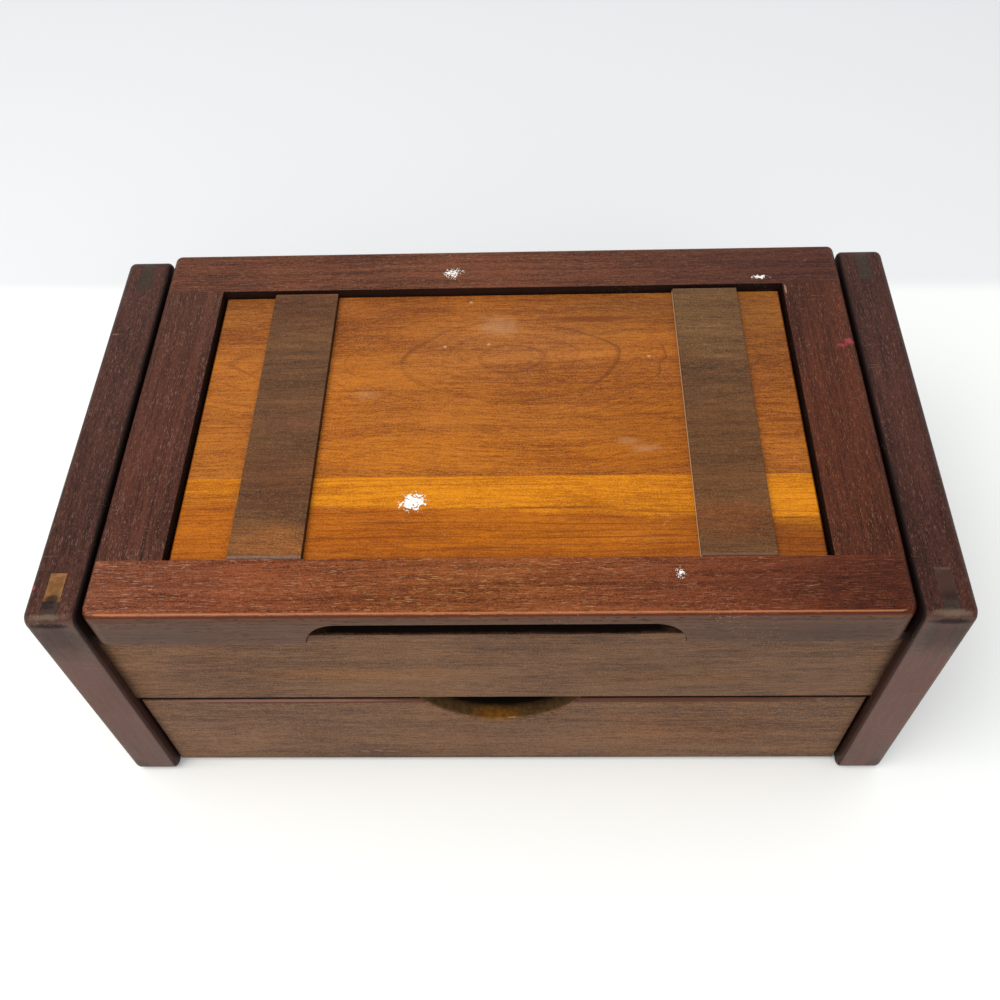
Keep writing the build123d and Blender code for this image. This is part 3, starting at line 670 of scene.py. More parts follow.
class JEWELRYBOX_OT_end_frames(bpy.types.Operator):
    """Finish the two end frames and their panels"""
    bl_idname = "jewelry_box.end_frames"
    bl_label = "End frames"

    def execute(self, context):
        c = colours()
        low, high = (corner / MM for corner in (cad_low, cad_high))
        for side, out in (("left", -1), ("right", 1)):
            across = middle(f"{side}_front_post").x / MM
            for place in ("front", "rear"):
                node = f"{side}_{place}_post"
                finish = frame_wood(node, ALONG_Z, beside(node, 34 * out, 12, 0))
                if place == "rear":
                    finish.stain((across, high.y - 8, high.z), (11, 13, 3), c.frame_edge, 0.6, 0.8, 0.4)
                    finish.stain((across, high.y - 9, high.z), (2.8, 6, 3), c.worn_edge_and_highlight, 0.18, 0.5, 4.0,
                                 1500.0)
                else:
                    self.mark_tenon(finish, c, side, across, low.y, high.z)
                self.age(finish, c, out, low, high)
                paint_node(node, finish.close(0.5))
            for rail, height in (("top_rail", -38), ("bottom_rail", 45)):
                node = f"{side}_{rail}"
                finish = frame_wood(node, ALONG_Y, beside(node, 10 * out, 0, height))
                if node == "right_top_rail":
                    finish.glaze((156, 0, high.z), (20, 200, 6), (0.93, 0.85, 0.86), 1.0, 0.2)
                elif node == "left_top_rail":
                    finish.stain((-163.4, -85.8, high.z), (1.1, 1.5, 2), c.pink, 0.7, 0.6, 1.0, 900.0)
                self.age(finish, c, out, low, high)
                paint_node(node, finish.close(0.48))
            node = f"{side}_end_panel"
            finish = walnut(node, ALONG_Y, beside(node, 30 * out, 0, 12))
            paint_node(node, finish.wear(c.frame_pore, 0.2, 0.25, 0.15).close(0.52))
        return {"FINISHED"}

    def mark_tenon(self, finish, c, side, x, front, top):
        """The tenon's end grain on the top: rubbed bare on the left, dark with dirt on the right."""
        if side == "left":
            finish.stain((x - 0.9, front + 14.6, top), (4.5, 6.6, 3), c.tenon_tan, 0.95, 0.12, 0.22, 500.0,
                         1.0)
            finish.glaze((x - 0.9, front + 14.6, top), (6, 8, 3), (0.55, 0.52, 0.45), 0.9, 0.9, 3.0, 420.0)
            finish.stain((x, front + 9.5, top), (3.6, 2.4, 3), c.dirt_and_shade, 0.8, 0.6, 0.9)
            finish.stain((x - 1.5, front + 6.5, top), (4.4, 3, 3), c.dirt_and_shade, 0.6, 0.9, 1.4)
        else:
            finish.stain((x, front + 15, top), (4.5, 6, 3), c.frame_pore, 0.3, 0.1, 1.0, 900.0, 1.0)
            finish.stain((x, front + 14, top), (4.2, 8, 3), c.frame_inside, 0.85, 0.4, 1.0, 900.0, 1.0)
            finish.stain((x, front + 9, top), (4, 4, 3), c.dirt_and_shade, 0.5, 0.9, 1.0)
            finish.stain((x - 7.7, front + 2, top - 1), (1.6, 2.2, 2.4), c.worn_edge_and_highlight, 0.7, 0.7, 1.2, 800.0)

    def age(self, finish, c, out, low, high):
        """Grey-purple fronts, insides darkened as painted shade, worn front edges lightened also as a
        painted highlight, and a dark band below them.
        """
        # The front face, with its darker joint cheeks, a pale line between them and a worn foot.
        finish.facing((0, -1, 0), c.frame_front, 0.5, 0.6, 0.97)
        finish.glaze((out * 156, low.y, 110), (16, 5, 17), (0.5, 0.54, 0.56), 1.0, 0.9, 0.7, 120.0)
        finish.stain((out * 163.5, low.y, 104), (3.2, 4, 7), c.frame_end, 0.6, 0.7, 0.8, 200.0)
        finish.glaze((out * 157.5, low.y, 108), (2.6, 4, 12), (1.35, 1.1, 1.0), 0.6, 1.0, 1.4, 200.0)
        finish.stain((out * 161.5, low.y, 5), (4.5, 4, 7), c.frame_end, 0.55, 0.4, 0.6, 240.0)
        # The inside, darkened as painted shade and a little less at its front, the outside and the edges of
        # the top.
        finish.facing((-out, 0, 0), c.dirt_and_shade, 0.95, 0.3, 0.75)
        finish.stain((out * 145.5, low.y, 50), (1.6, 6, 68), c.frame_inside, 0.9, 0.5, 0.5, 120.0, 1.0)
        finish.facing((out, 0, 0.3), c.frame_edge, 0.55, 0.72, 0.98)
        # Top edges worn and lightened as a painted highlight.
        for y in (low.y + 1.4, high.y - 1.4):
            finish.stain((out * 156, y, high.z - 0.4), (10.5, 2.2, 1.6), c.worn_edge_and_highlight, 0.6, 0.6, 1.1, 260.0)
        finish.stain((out * 156, low.y + 0.2, high.z - 3.6), (10, 1.6, 1.9), c.dirt_and_shade, 0.85, 0.7, 0.6, 400.0)
        finish.wear(c.frame_pore, 0.0, 0.5, 0.35)


class JEWELRYBOX_OT_lid_frame(bpy.types.Operator):
    """Finish the lid's stiles and rails"""
    bl_idname = "jewelry_box.lid_frame"
    bl_label = "Lid frame"

    def execute(self, context):
        c = colours()
        top = top_of("lid_front_rail")
        front = front_of("lid_front_rail")
        for node, inward in (("lid_left_stile", 1), ("lid_right_stile", -1)):
            finish = lid_wood(node, ALONG_Y, beside(node, -20 * inward, 0, -32))
            if node == "lid_right_stile":
                finish.glaze((132, 0, top), (60, 160, 30), (1.0, 0.82, 0.6), 1.0, 0.2)
                # A pink smear in two strokes, and a pale chip at the inner corner.
                finish.stain((142.2, 33.4, top), (2.9, 2.4, 3), c.pink, 0.75, 0.8, 1.6, 700.0)
                finish.stain((138.6, 31.2, top), (3.0, 1.3, 3), c.pink, 0.5, 0.8, 1.8, 700.0)
                finish.stain((120.5, 65.5, top), (0.5, 3.2, 3), c.frame_pore, 0.9, 0.4, 0.3)
            else:
                finish.glaze((-132, 72, top), (40, 60, 30), (1.02, 1.16, 1.12), 0.9, 0.9)
            # Inner faces, above the panel, darkened nearly black as painted shade; outer faces, toward the
            # end frames, darkened as painted shade.
            finish.facing((inward, 0, 0), c.dirt_and_shade, 0.9)
            finish.facing((-inward, 0, 0), c.frame_dark, 0.85, 0.7, 0.95)
            paint_node(node, finish.wear(c.frame_pore, 0.0, 0.5, 0.25).close(0.48))
        node = "lid_back_rail"
        finish = lid_wood(node, ALONG_X, beside(node, 0, 14, -30), 0.35)
        finish.glaze((-50, 82, top), (190, 60, 30), (1.75, 1.8, 1.4), 1.0, 0.8)
        finish.glaze((150, 82, top), (50, 40, 30), (0.97, 0.86, 0.84), 1.0, 0.8)
        # Its inner face, above the panel, darkened nearly black as painted shade.
        finish.facing((0, -1, 0), c.dirt_and_shade, 0.9)
        paint_node(node, finish.wear(c.frame_pore, 0.1, 0.4, 0.2).close(0.48))
        node = "lid_front_rail"
        finish = Finish("lid_front_rail wood").wood(
            c.front_rail_light, c.front_rail_dark, c.front_rail_pore, c.frame_end, ALONG_X,
            beside(node, 0, 16, -40),
            ring_width=0.0032, ring_strength=0.35, wander=0.004, pore_length=0.0058, pore_spacing=0.00095,
            pore_width=0.00034, pore_share=0.55)
        # Darker to the right, warmer in the middle and paler on the left.
        finish.glaze((160, -88, top), (145, 90, 40), (0.36, 0.28, 0.3), 1.0, 0.95)
        finish.glaze((-10, -88, top), (90, 30, 12), (1.08, 1.18, 0.82), 0.9, 0.95)
        finish.glaze((-140, -88, top), (60, 50, 30), (0.98, 1.14, 1.45), 0.9, 0.95)
        # Down over the rounded edge: a painted highlight line, a dark red line and the front face greyed as
        # a painted reflection.
        finish.facing((0, -0.3, 0.954), c.front_rail_highlight, 0.7, 0.988, 0.9995)
        finish.facing((0, -1, 0), c.front_rail_dark, 0.95, 0.46, 0.54)
        finish.facing((0, -1, 0), c.rail_face, 0.9, 0.66, 0.78)
        finish.glaze((0, front, 111), (60, 4, 12), (1.0, 0.95, 0.85), 0.9, 0.9)
        # The ends, toward the end frames, darkened as painted shade.
        for side in (-1, 1):
            finish.facing((side, 0, 0), c.frame_dark, 0.85, 0.5, 0.8)
        finish.glaze((118, front, 111), (70, 4, 12), (0.82, 0.82, 0.78), 0.95, 0.9)
        for side in (-1, 1):
            finish.glaze((side * 120, front, 111), (34, 3, 9), (0.8, 0.86, 0.9), 0.9, 0.9, 1.3, 200.0)
        finish.wear(c.front_rail_pore, 0.0, 0.4, 0.25)
        # The inside of the finger slot, painted nearly black as painted shade.
        finish.stain((0, -84.6, 112.2), (74, 13.9, 7), c.black_shade, 1.0, 0.03, 0.0, square=1.0)
        paint_node(node, finish.close(0.42))
        return {"FINISHED"}


class JEWELRYBOX_OT_lid_panel(bpy.types.Operator):
    """Finish the lid panel's two boards"""
    bl_idname = "jewelry_box.lid_panel"
    bl_label = "Lid panel"

    def execute(self, context):
        c = colours()
        node = "lid_panel_main_board"
        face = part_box(node)[1].z
        top = face / MM
        finish = Finish("lid_panel_main_board cherry").wood(
            c.cherry_light, c.cherry_dark, c.cherry_dark, c.cherry_dark, ALONG_X,
            (0.0045, 0.0285, face - 0.002),
            ring_width=0.0078, ring_strength=0.6, line_share=0.16, crowding=380.0, crowded_from=0.03,
            bow=0.58, bow_reach=0.07, wander=0.01, wobble=0.006, streaks=0.85, clouds=1.2,
            pore_length=0.0024, pore_width=0.00024, pore_share=0.3)
        # Hazy middle, paler sweep along the joint and darker far corners.
        for x, y, wide, deep, coat, softness in (
                (5, 36, 62, 28, (0.94, 1.02, 2.0), 0.95), (-20, -24, 100, 18, (1.12, 1.1, 0.7), 0.8),
                (-66, -2, 22, 44, (1.15, 1.12, 0.9), 0.95), (66, 66, 90, 36, (0.62, 0.66, 0.9), 0.95),
                (62, -10, 40, 36, (0.86, 0.8, 0.4), 0.95), (-50, 64, 64, 30, (0.74, 0.7, 0.85), 0.95),
                (-112, 66, 34, 40, (0.7, 0.74, 0.95), 0.95), (109, 50, 24, 60, (0.72, 0.78, 0.9), 0.9),
                (54, -27, 52, 13, (0.94, 0.87, 0.5), 0.95)):
            finish.glaze((x, y, top), (wide, deep, 20), coat, 0.9, softness)
        # Single dark lines in the grain.
        for x, y, wide, deep in ((-53, 11.5, 15, 0.5), (58, -3, 15, 0.8), (65.5, 62.6, 6, 0.7),
                                 (38, 52, 33, 2.2), (108, 1.8, 9, 0.7), (110, -7.2, 9, 1.3),
                                 (-101, 58.5, 5, 0.6), (-106, 40, 10, 0.6)):
            finish.stain((x, y, top), (wide, deep, 9), c.cherry_dark, 0.75, 0.7, 1.0, 160.0)
        # A pale dull patch, pale rubbed marks, a dark one and a few pale specks.
        for x, y, wide, deep, amount, raggedness, grain in (
                (-1, 48, 13, 9, 0.3, 1.3, 160.0), (50, -17, 8, 2.6, 0.26, 1.3, 200.0),
                (57, -21, 8, 3, 0.3, 1.3, 200.0), (-53, 9, 7, 4, 0.24, 1.4, 260.0)):
            finish.stain((x, y, top), (wide, deep, 9), c.cherry_haze, amount, 0.95, raggedness, grain)
        finish.stain((-4, -9.5, top), (9, 3, 9), c.cherry_dark, 0.35, 0.9, 1.2, 260.0)
        for x, y in ((-12.5, 63.2), (-4.5, 37.3), (-22.7, 36.2), (61, 29.2)):
            finish.stain((x, y, top), (1.0, 0.7, 9), c.cherry_haze, 0.9, 0.5, 0.8, 900.0)
        paint_node(node, finish.wear(c.cherry_haze, 0.0, 0.3, 0.2).close(0.42, 0.0001, 0.12))

        node = "lid_panel_front_board"
        finish = Finish("lid_panel_front_board cherry").wood(
            c.golden_light, c.golden_dark, c.golden_dark, c.golden_dark, ALONG_X,
            (-0.02, -0.105, face - 0.012),
            ring_width=0.0028, ring_strength=0.8, line_share=0.26, bow=0.12, wander=0.008, wobble=0.002,
            streaks=0.95, clouds=1.4, pore_length=0.0024, pore_width=0.00024, pore_share=0.3)
        # Everything in front of a slanting line is browner: the edge of a very large round coat.
        far = 2000
        finish.glaze((-93.0, -46.9 - far, top), (far, far, far), (0.68, 0.55, 0.95), 1.0, 0.0016, 0.003,
                     80.0)
        # Darker blocks beside both bands, then warm and pale clouds between them.
        finish.glaze((-109, -45.5, top), (13, 4.3, 9), (0.7, 0.62, 1.2), 0.9, 0.2, 0.2, 200.0, 1.0)
        finish.glaze((109, -67, top), (12, 13.5, 9), (0.66, 0.64, 0.9), 1.0, 0.2, 0.1, 80.0, 1.0)
        finish.glaze((6, -62, top), (44, 13, 9), (0.98, 1.02, 0.66), 0.9, 0.95)
        finish.glaze((70, -60, top), (60, 22, 9), (0.84, 0.84, 1.0), 0.9, 0.9)
        finish.glaze((52, -64, top), (30, 5, 9), (1.25, 1.3, 0.9), 0.8, 0.9, 0.8, 90.0)
        finish.glaze((-8, -63, top), (15, 3.4, 9), (1.3, 1.35, 0.85), 0.9, 0.9, 0.8, 110.0)
        for x, y, wide, deep in ((26, -49.5, 26, 0.7), (60, -62.6, 12, 0.6), (-6, -68, 22, 0.8),
                                 (-40, -56, 22, 0.7), (108, -55.2, 10, 0.6)):
            finish.stain((x, y, top), (wide, deep, 9), c.cherry_dark, 0.7, 0.7, 1.2, 130.0)
        paint_node(node, finish.wear(c.cherry_haze, 0.0, 0.3, 0.2).close(0.4, 0.0001, 0.12))
        return {"FINISHED"}


class JEWELRYBOX_OT_bands(bpy.types.Operator):
    """Finish the two raised bands across the panel"""
    bl_idname = "jewelry_box.bands"
    bl_label = "Bands"

    def execute(self, context):
        c = colours()
        for node, across in (("lid_left_band", 18), ("lid_right_band", -24)):
            x = middle(node).x / MM
            top = top_of(node)
            finish = Finish(node + " walnut").wood(
                c.band_light, c.band_dark, c.band_pore, c.band_dark, ALONG_X,
                beside(node, 0, across, -26),
                ring_width=0.0042, ring_strength=0.3, bow=0.25, wander=0.012, wobble=0.003, streaks=0.7,
                clouds=1.0, pore_length=0.0013, pore_spacing=0.0008, pore_width=0.0004, pore_share=0.55)
            # Clouds of colour down the band, and a paler worn end on the left one.
            if node == "lid_left_band":
                finish.glaze((x, 62, top), (30, 26, 9), (1.0, 0.84, 0.76), 0.9, 0.7)
                finish.glaze((x, 8, top), (30, 34, 9), (0.88, 0.86, 0.94), 0.9, 0.6)
                finish.glaze((x, -38, top), (30, 20, 9), (0.95, 0.82, 0.85), 0.9, 0.6)
                finish.glaze((x + 3, -66, top), (26, 13, 9), (2.1, 1.7, 1.1), 0.85, 0.9, 0.8, 90.0)
                finish.stain((x + 5, -9, top), (9, 3, 9), c.pink, 0.08, 0.9, 1.4, 260.0)
                ripples = (48, 42, 35, 28, 20, 3)
            else:
                finish.glaze((x, 50, top), (30, 34, 9), (1.12, 1.25, 1.2), 0.9, 0.6)
                finish.glaze((x, -22, top), (30, 40, 9), (0.96, 0.9, 0.8), 0.9, 0.7)
                finish.glaze((x, -58, top), (30, 12, 9), (1.3, 1.0, 0.75), 0.9, 0.6, 0.6, 90.0)
                ripples = (44, 33, 26, 17, 8, 1)
            # Soft bright ripples across the band.
            for y in ripples:
                finish.glaze((x, y, top), (13, 1.7, 9), (1.4, 1.36, 1.3), 0.8, 1.0, 1.6, 130.0)
            # Right side faces darkened as painted shade.
            finish.facing((1, 0, 0), c.dirt_and_shade, 0.75, 0.4, 0.8)
            if node == "lid_left_band":
                finish.facing((0, -1, 0), c.band_end, 0.75, 0.2, 0.5)
            else:
                # The left side is painted pale as painted light, below its dark upper edge.
                finish.facing((0, -1, 0), c.band_end, 0.35, 0.2, 0.5)
                finish.stain((x - 13.5, -3, top - 2.2), (0.3, 80, 1.5), c.pale_highlight, 0.95, 0.15, 0.1, 300.0,
                             1.0)
            paint_node(node, finish.wear(c.band_pore, 0.0, 0.3, 0.2).close(0.46, 0.0002, 0.15))
        return {"FINISHED"}


class JEWELRYBOX_OT_case(bpy.types.Operator):
    """Finish the case's front, back, floor, dividers and runners"""
    bl_idname = "jewelry_box.case"
    bl_label = "Case"

    def execute(self, context):
        c = colours()
        front = front_of("case_front")
        finish = walnut("case_front", ALONG_X, beside("case_front", 0, 44, -20))
        # Warm clouds, a darker right side, and painted shade in the corners at both ends.
        finish.glaze((-60, front, 77), (50, 9, 7), (1.2, 1.06, 0.72), 0.9, 0.9, 0.6, 40.0)
        finish.glaze((70, front, 74), (50, 9, 8), (1.15, 1.04, 0.85), 0.8, 0.9, 0.6, 40.0)
        finish.glaze((90, front, 80), (130, 9, 60), (0.86, 0.87, 0.9), 1.0, 0.9, 0.3, 20.0)
        finish.glaze((-120, front, 84), (70, 9, 40), (1.16, 1.1, 1.02), 0.9, 0.9)
        finish.stain((84, front, 93), (14, 4, 1.6), c.walnut_dark, 0.7, 0.8, 0.9, 120.0)
        for side in (-1, 1):
            finish.stain((side * 148, front, 86), (7, 6, 46), c.dirt_and_shade, 0.85, 0.9, 0.3, 90.0)
            finish.stain((side * 144, front, 104), (9, 6, 7), c.dirt_and_shade, 0.9, 0.8, 0.5, 160.0)
        finish.facing((0, -0.7, 0.7), c.front_rail_dark, 0.8, 0.8, 0.97)
        finish.wear(c.walnut_pore, 0.0, 0.35, 0.3)
        # Nearly black painted shade below the lid's slot and along the drawer's gap.
        finish.stain((0, -88.4, top_of("case_front")), (76, 7.6, 0.8), c.black_shade, 0.97, 0.22, 0.35, 90.0, 1.0)
        finish.facing((0, 0, -1), c.black_shade, 0.9, 0.7, 0.95)
        paint_node("case_front", finish.close(0.5))
        finish = walnut("case_back", ALONG_X, beside("case_back", 0, -22, -14))
        paint_node("case_back", finish.wear(c.frame_pore, 0.25, 0.2, 0.15).close(0.55))
        paint_node("compartment_floor", plywood("compartment_floor", 30).close(0.6))
        for side, out in (("left", -1), ("right", 1)):
            node = f"{side}_divider"
            finish = walnut(node, ALONG_Y, beside(node, 24 * out, 0, 8))
            paint_node(node, finish.wear(c.frame_pore, 0.25, 0.2, 0.1).close(0.52))
            node = f"{side}_runner"
            finish = box_wood(node, ALONG_Y, beside(node, 20 * out, 0, 14))
            paint_node(node, finish.wear(c.ply_light, 0.25, 0.3, 0.1).close(0.5))
        return {"FINISHED"}


class JEWELRYBOX_OT_drawer(bpy.types.Operator):
    """Finish the drawer's front, sides, back and bottom"""
    bl_idname = "jewelry_box.drawer"
    bl_label = "Drawer"

    def execute(self, context):
        c = colours()
        finish = walnut("drawer_front", ALONG_X, beside("drawer_front", 0, 36, -10))
        self.age_front(finish, c)
        # The drawer's top edge: nearly black painted shade on top, a pinkish painted highlight left of the
        # scoop and reddish right of it.
        finish.stain((0, -95.4, 55.4), (145, 0.9, 1.6), c.front_rail_dark, 0.8, 0.3, 0.3, 200.0, 1.0)
        finish.stain((-88, -95.4, 55.9), (64, 1.0, 1.0), c.drawer_edge_highlight, 0.95, 0.4, 0.4, 200.0)
        finish.stain((0, -94.0, 58.0), (300, 4.4, 1.4), c.black_shade, 0.8, 0.75, 0.6, 90.0, 1.0)
        finish.stain((0, -94.6, 57.5), (300, 1.9, 0.9), c.black_shade, 0.98, 0.25, 0.25, 160.0, 1.0)
        # The scoop: golden low in its middle, brightened there as painted light, nearly black above as
        # painted shade, and two small painted highlights.
        finish.stain((0, -87.2, 50), (32.5, 8, 20), c.scoop_end, 0.92, 0.01, 0.02, 400.0, 1.0)
        finish.stain((-2, -93.2, 40), (16, 5, 4.5), c.scoop, 0.95, 0.8, 0.7, 200.0)
        finish.glaze((0, -92, 50), (34, 6, 20), (0.6, 0.55, 0.5), 0.9, 0.9, 3.0, 500.0)
        finish.stain((0, -82, 50), (34, 10, 20), c.dirt_and_shade, 0.7, 0.4, 0.3, 160.0, 1.0)
        finish.stain((0, -82, 50), (34, 8, 20), c.black_shade, 0.95, 0.25, 0.2, 160.0, 1.0)
        finish.stain((-17.5, -94.8, 47.5), (2.6, 1.4, 0.9), c.pale_highlight, 0.8, 0.6, 1.2, 900.0)
        finish.stain((2, -95.3, 40.4), (5, 0.6, 0.5), c.pale_highlight, 0.6, 0.6, 0.8, 900.0)
        paint_node("drawer_front", finish.close(0.5))
        for node, out in (("drawer_left_side", -1), ("drawer_right_side", 1)):
            finish = box_wood(node, ALONG_Y, beside(node, 22 * out, 0, 10))
            paint_node(node, finish.wear(c.ply_light, 0.25, 0.3, 0.1).close(0.55))
        finish = box_wood("drawer_back", ALONG_X, beside("drawer_back", 0, 18, 9))
        paint_node("drawer_back", finish.wear(c.ply_light, 0.25, 0.3, 0.1).close(0.55))
        paint_node("drawer_bottom", plywood("drawer_bottom", 26).close(0.6))
        return {"FINISHED"}

    def age_front(self, finish, c):
        """Warmer clouds, a darker lower edge, ends darkened as painted shade and a few pale specks."""
        front = front_of("drawer_front")
        finish.glaze((80, front, 30), (60, 9, 24), (1.14, 1.0, 0.86), 0.9, 0.9, 0.6, 30.0)
        finish.glaze((-110, front, 34), (60, 9, 30), (1.12, 1.12, 1.16), 0.9, 0.9, 0.6, 30.0)
        finish.stain((0, front, 3.5), (150, 3, 2.2), c.dirt_and_shade, 0.5, 0.8, 0.6, 120.0)
        # Ends beside the posts, darkened as painted shade.
        for side in (-1, 1):
            finish.stain((side * 147, front, 30), (6, 5, 60), c.dirt_and_shade, 0.6, 0.9, 0.3, 90.0)
        for x, z in ((-55, 10.8), (-49, 9.6), (-61, 9.9), (-20, 47.6)):
            finish.stain((x, front, z), (2.4, 3, 0.8), c.band_end, 0.8, 0.5, 1.4, 700.0)
        finish.wear(c.walnut_pore, 0.0, 0.35, 0.3)


def metal(name, base, dull, rough):
    """Cast or turned metal with tarnish and fine polishing marks."""
    finish = Finish(name)
    tree = finish.tree
    spots = tree.step(tree.noise(finish.place, 130.0, 4.0, 0.6), 0.4, 0.75)
    colour = tree.mix(tree.times(spots, 0.5), base, dull)
    lines = tree.grain(finish.place, (300.0, 300.0, 6000.0), 2.0)
    roughness = tree.plus(tree.times(spots, 0.25, rough), tree.times(lines, 0.08))
    return finish.shade(colour, roughness, lines, 0.3, 0.00005, Metallic=1.0)


class JEWELRYBOX_OT_hardware(bpy.types.Operator):
    """Finish the hinges, their screws and the runner screws"""
    bl_idname = "jewelry_box.hardware"
    bl_label = "Hardware"

    def execute(self, context):
        c = colours()
        brass = metal("aged brass", c.brass, tone(110, 82, 44), 0.28)
        steel = metal("plain steel", c.steel, tone(96, 94, 92), 0.32)
        for side in ("left", "right"):
            for part in ("hinge_case_leaf", "hinge_lid_leaf", "hinge_pin"):
                paint_node(f"{side}_{part}", brass)
            paint_node(f"{side}_runner_screws", steel)
        paint_node("case_hinge_screws", brass)
        paint_node("lid_hinge_screws", brass)
        return {"FINISHED"}


def felt_finish():
    """Wine-red felt: matted fibres, a soft sheen and a few pale lint specks."""
    c = colours()
    finish = Finish("wine felt")
    tree = finish.tree
    fibres = tree.grain(finish.place, (1500.0, 1500.0, 1500.0), 4.0, 0.75)
    cross = tree.grain(finish.place, (240.0, 2400.0, 900.0), 3.0, 0.7)
    tufts = tree.noise(finish.place, 220.0, 3.0, 0.6)
    colour = tree.mix(tree.step(fibres, 0.3, 0.7), tone(66, 12, 22), c.felt)
    colour = tree.mix(tree.times(tree.step(cross, 0.5, 0.75), 0.45), colour, tone(132, 42, 52))
    colour = tree.mix(tree.times(tree.step(tufts, 0.5, 0.75), 0.35), colour, tone(74, 14, 24))
    lint = tree.node("ShaderNodeTexVoronoi", {"Vector": finish.place, "Scale": 95.0})
    speck = tree.step(lint.outputs["Distance"], 0.03, 0.05, 1.0, 0.0)
    colour = tree.mix(tree.times(speck, 0.5), colour, tone(190, 160, 150))
    height = tree.times(cross, 0.6, fibres)
    return finish.shade(colour, tree.times(fibres, 0.12, 0.86), height, 0.8, 0.0004, **{
        "Specular IOR Level": 0.15, "Sheen Weight": 0.6, "Sheen Roughness": 0.45,
        "Sheen Tint": tone(214, 140, 146)})


def grown_mesh(name, tree, values):
    """A plain mesh made by a tree of geometry nodes with the values given by name."""
    holder = bpy.data.objects.new(name + "_maker", bpy.data.meshes.new(name + "_maker"))
    bpy.context.scene.collection.objects.link(holder)
    modifier = holder.modifiers.new(name, "NODES")
    modifier.node_group = tree
    for key, value in values.items():
        modifier[tree.interface.items_tree[key].identifier] = value
    graph = bpy.context.evaluated_depsgraph_get()
    mesh = bpy.data.meshes.new_from_object(holder.evaluated_get(graph), depsgraph=graph)
    bpy.data.objects.remove(holder)
    mesh.name = name
    piece = bpy.data.objects.new(name, mesh)
    bpy.context.scene.collection.objects.link(piece)
    return piece


def felt_mesh(name, low, high, seed, material):
    """A closed sheet of felt that fills the box from low to high."""
    s = sizes()
    size = high - low
    columns = max(8, round(size.x / s.felt_cell))
    rows = max(8, round(size.y / s.felt_cell))
    near_edge = [step * MM for step in (0.0, 0.24, 0.7)]
    inset = 1.4 * MM
    waves = 21

    def lines(start, length, count):
        """Mesh lines from one side to the other, closer together near both edges."""
        inner = [start + inset + (length - inset * 2) * i / count for i in range(count + 1)]
        first = [start + step for step in near_edge]
        last = [start + length - step for step in reversed(near_edge)]
        return first + inner + last

    xs, ys = lines(low.x, size.x, columns), lines(low.y, size.y, rows)
    points, faces = [], []
    for level in (1, 0):
        for y in ys:
            for x in xs:
                near = max(0.0, min(x - low.x, high.x - x, y - low.y, high.y - y))
                edge = min(1.0, near / (s.felt_edge * 2))
                ease = math.sqrt(1 - (1 - edge) ** 2)
                ripple = noise.noise(Vector((x * waves, y * waves, seed * 3.7))) * 0.5 - 0.5
                top = high.z - s.felt_edge * (1 - ease) + ripple * s.felt_ripple * edge
                points.append((x, y, top if level else low.z))
    wide, deep = len(xs), len(ys)
    count = wide * deep

    def at(i, j):
        return j * wide + i

    for j in range(deep - 1):
        for i in range(wide - 1):
            ring = (at(i, j), at(i + 1, j), at(i + 1, j + 1), at(i, j + 1))
            faces.append(ring)
            faces.append(tuple(count + k for k in reversed(ring)))
    # The four sides, from the points round the rim.
    around = [at(i, 0) for i in range(wide)] + [at(wide - 1, j) for j in range(1, deep)]
    around += [at(i, deep - 1) for i in range(wide - 2, -1, -1)]
    around += [at(0, j) for j in range(deep - 2, 0, -1)]
    for a, b in zip(around, around[1:] + around[:1]):
        faces.append((b, a, count + a, count + b))
    mesh = bpy.data.meshes.new(name)
    mesh.from_pydata(points, [], faces)
    mesh.materials.append(material)
    mesh.polygons.foreach_set("use_smooth", [True] * len(mesh.polygons))
    mesh.update()
    piece = bpy.data.objects.new(name, mesh)
    bpy.context.scene.collection.objects.link(piece)
    return piece


class JEWELRYBOX_OT_felts(bpy.types.Operator):
    """Lay the felts in the compartments and the drawer"""
    bl_idname = "jewelry_box.felts"
    bl_label = "Felts"

    def execute(self, context):
        material = felt_finish()
        places = (("left_compartment_felt", "case", "compartment_floor"),
                  ("middle_compartment_felt", "case", "compartment_floor"),
                  ("right_compartment_felt", "case", "compartment_floor"),
                  ("drawer_felt", "drawer", "drawer_bottom"))
        for seed, (node, body, under) in enumerate(places):
            low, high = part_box(node)
            piece = felt_mesh(node + "_sheet", low, high, seed, material)
            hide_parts(node)
            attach(piece, body)
        return {"FINISHED"}


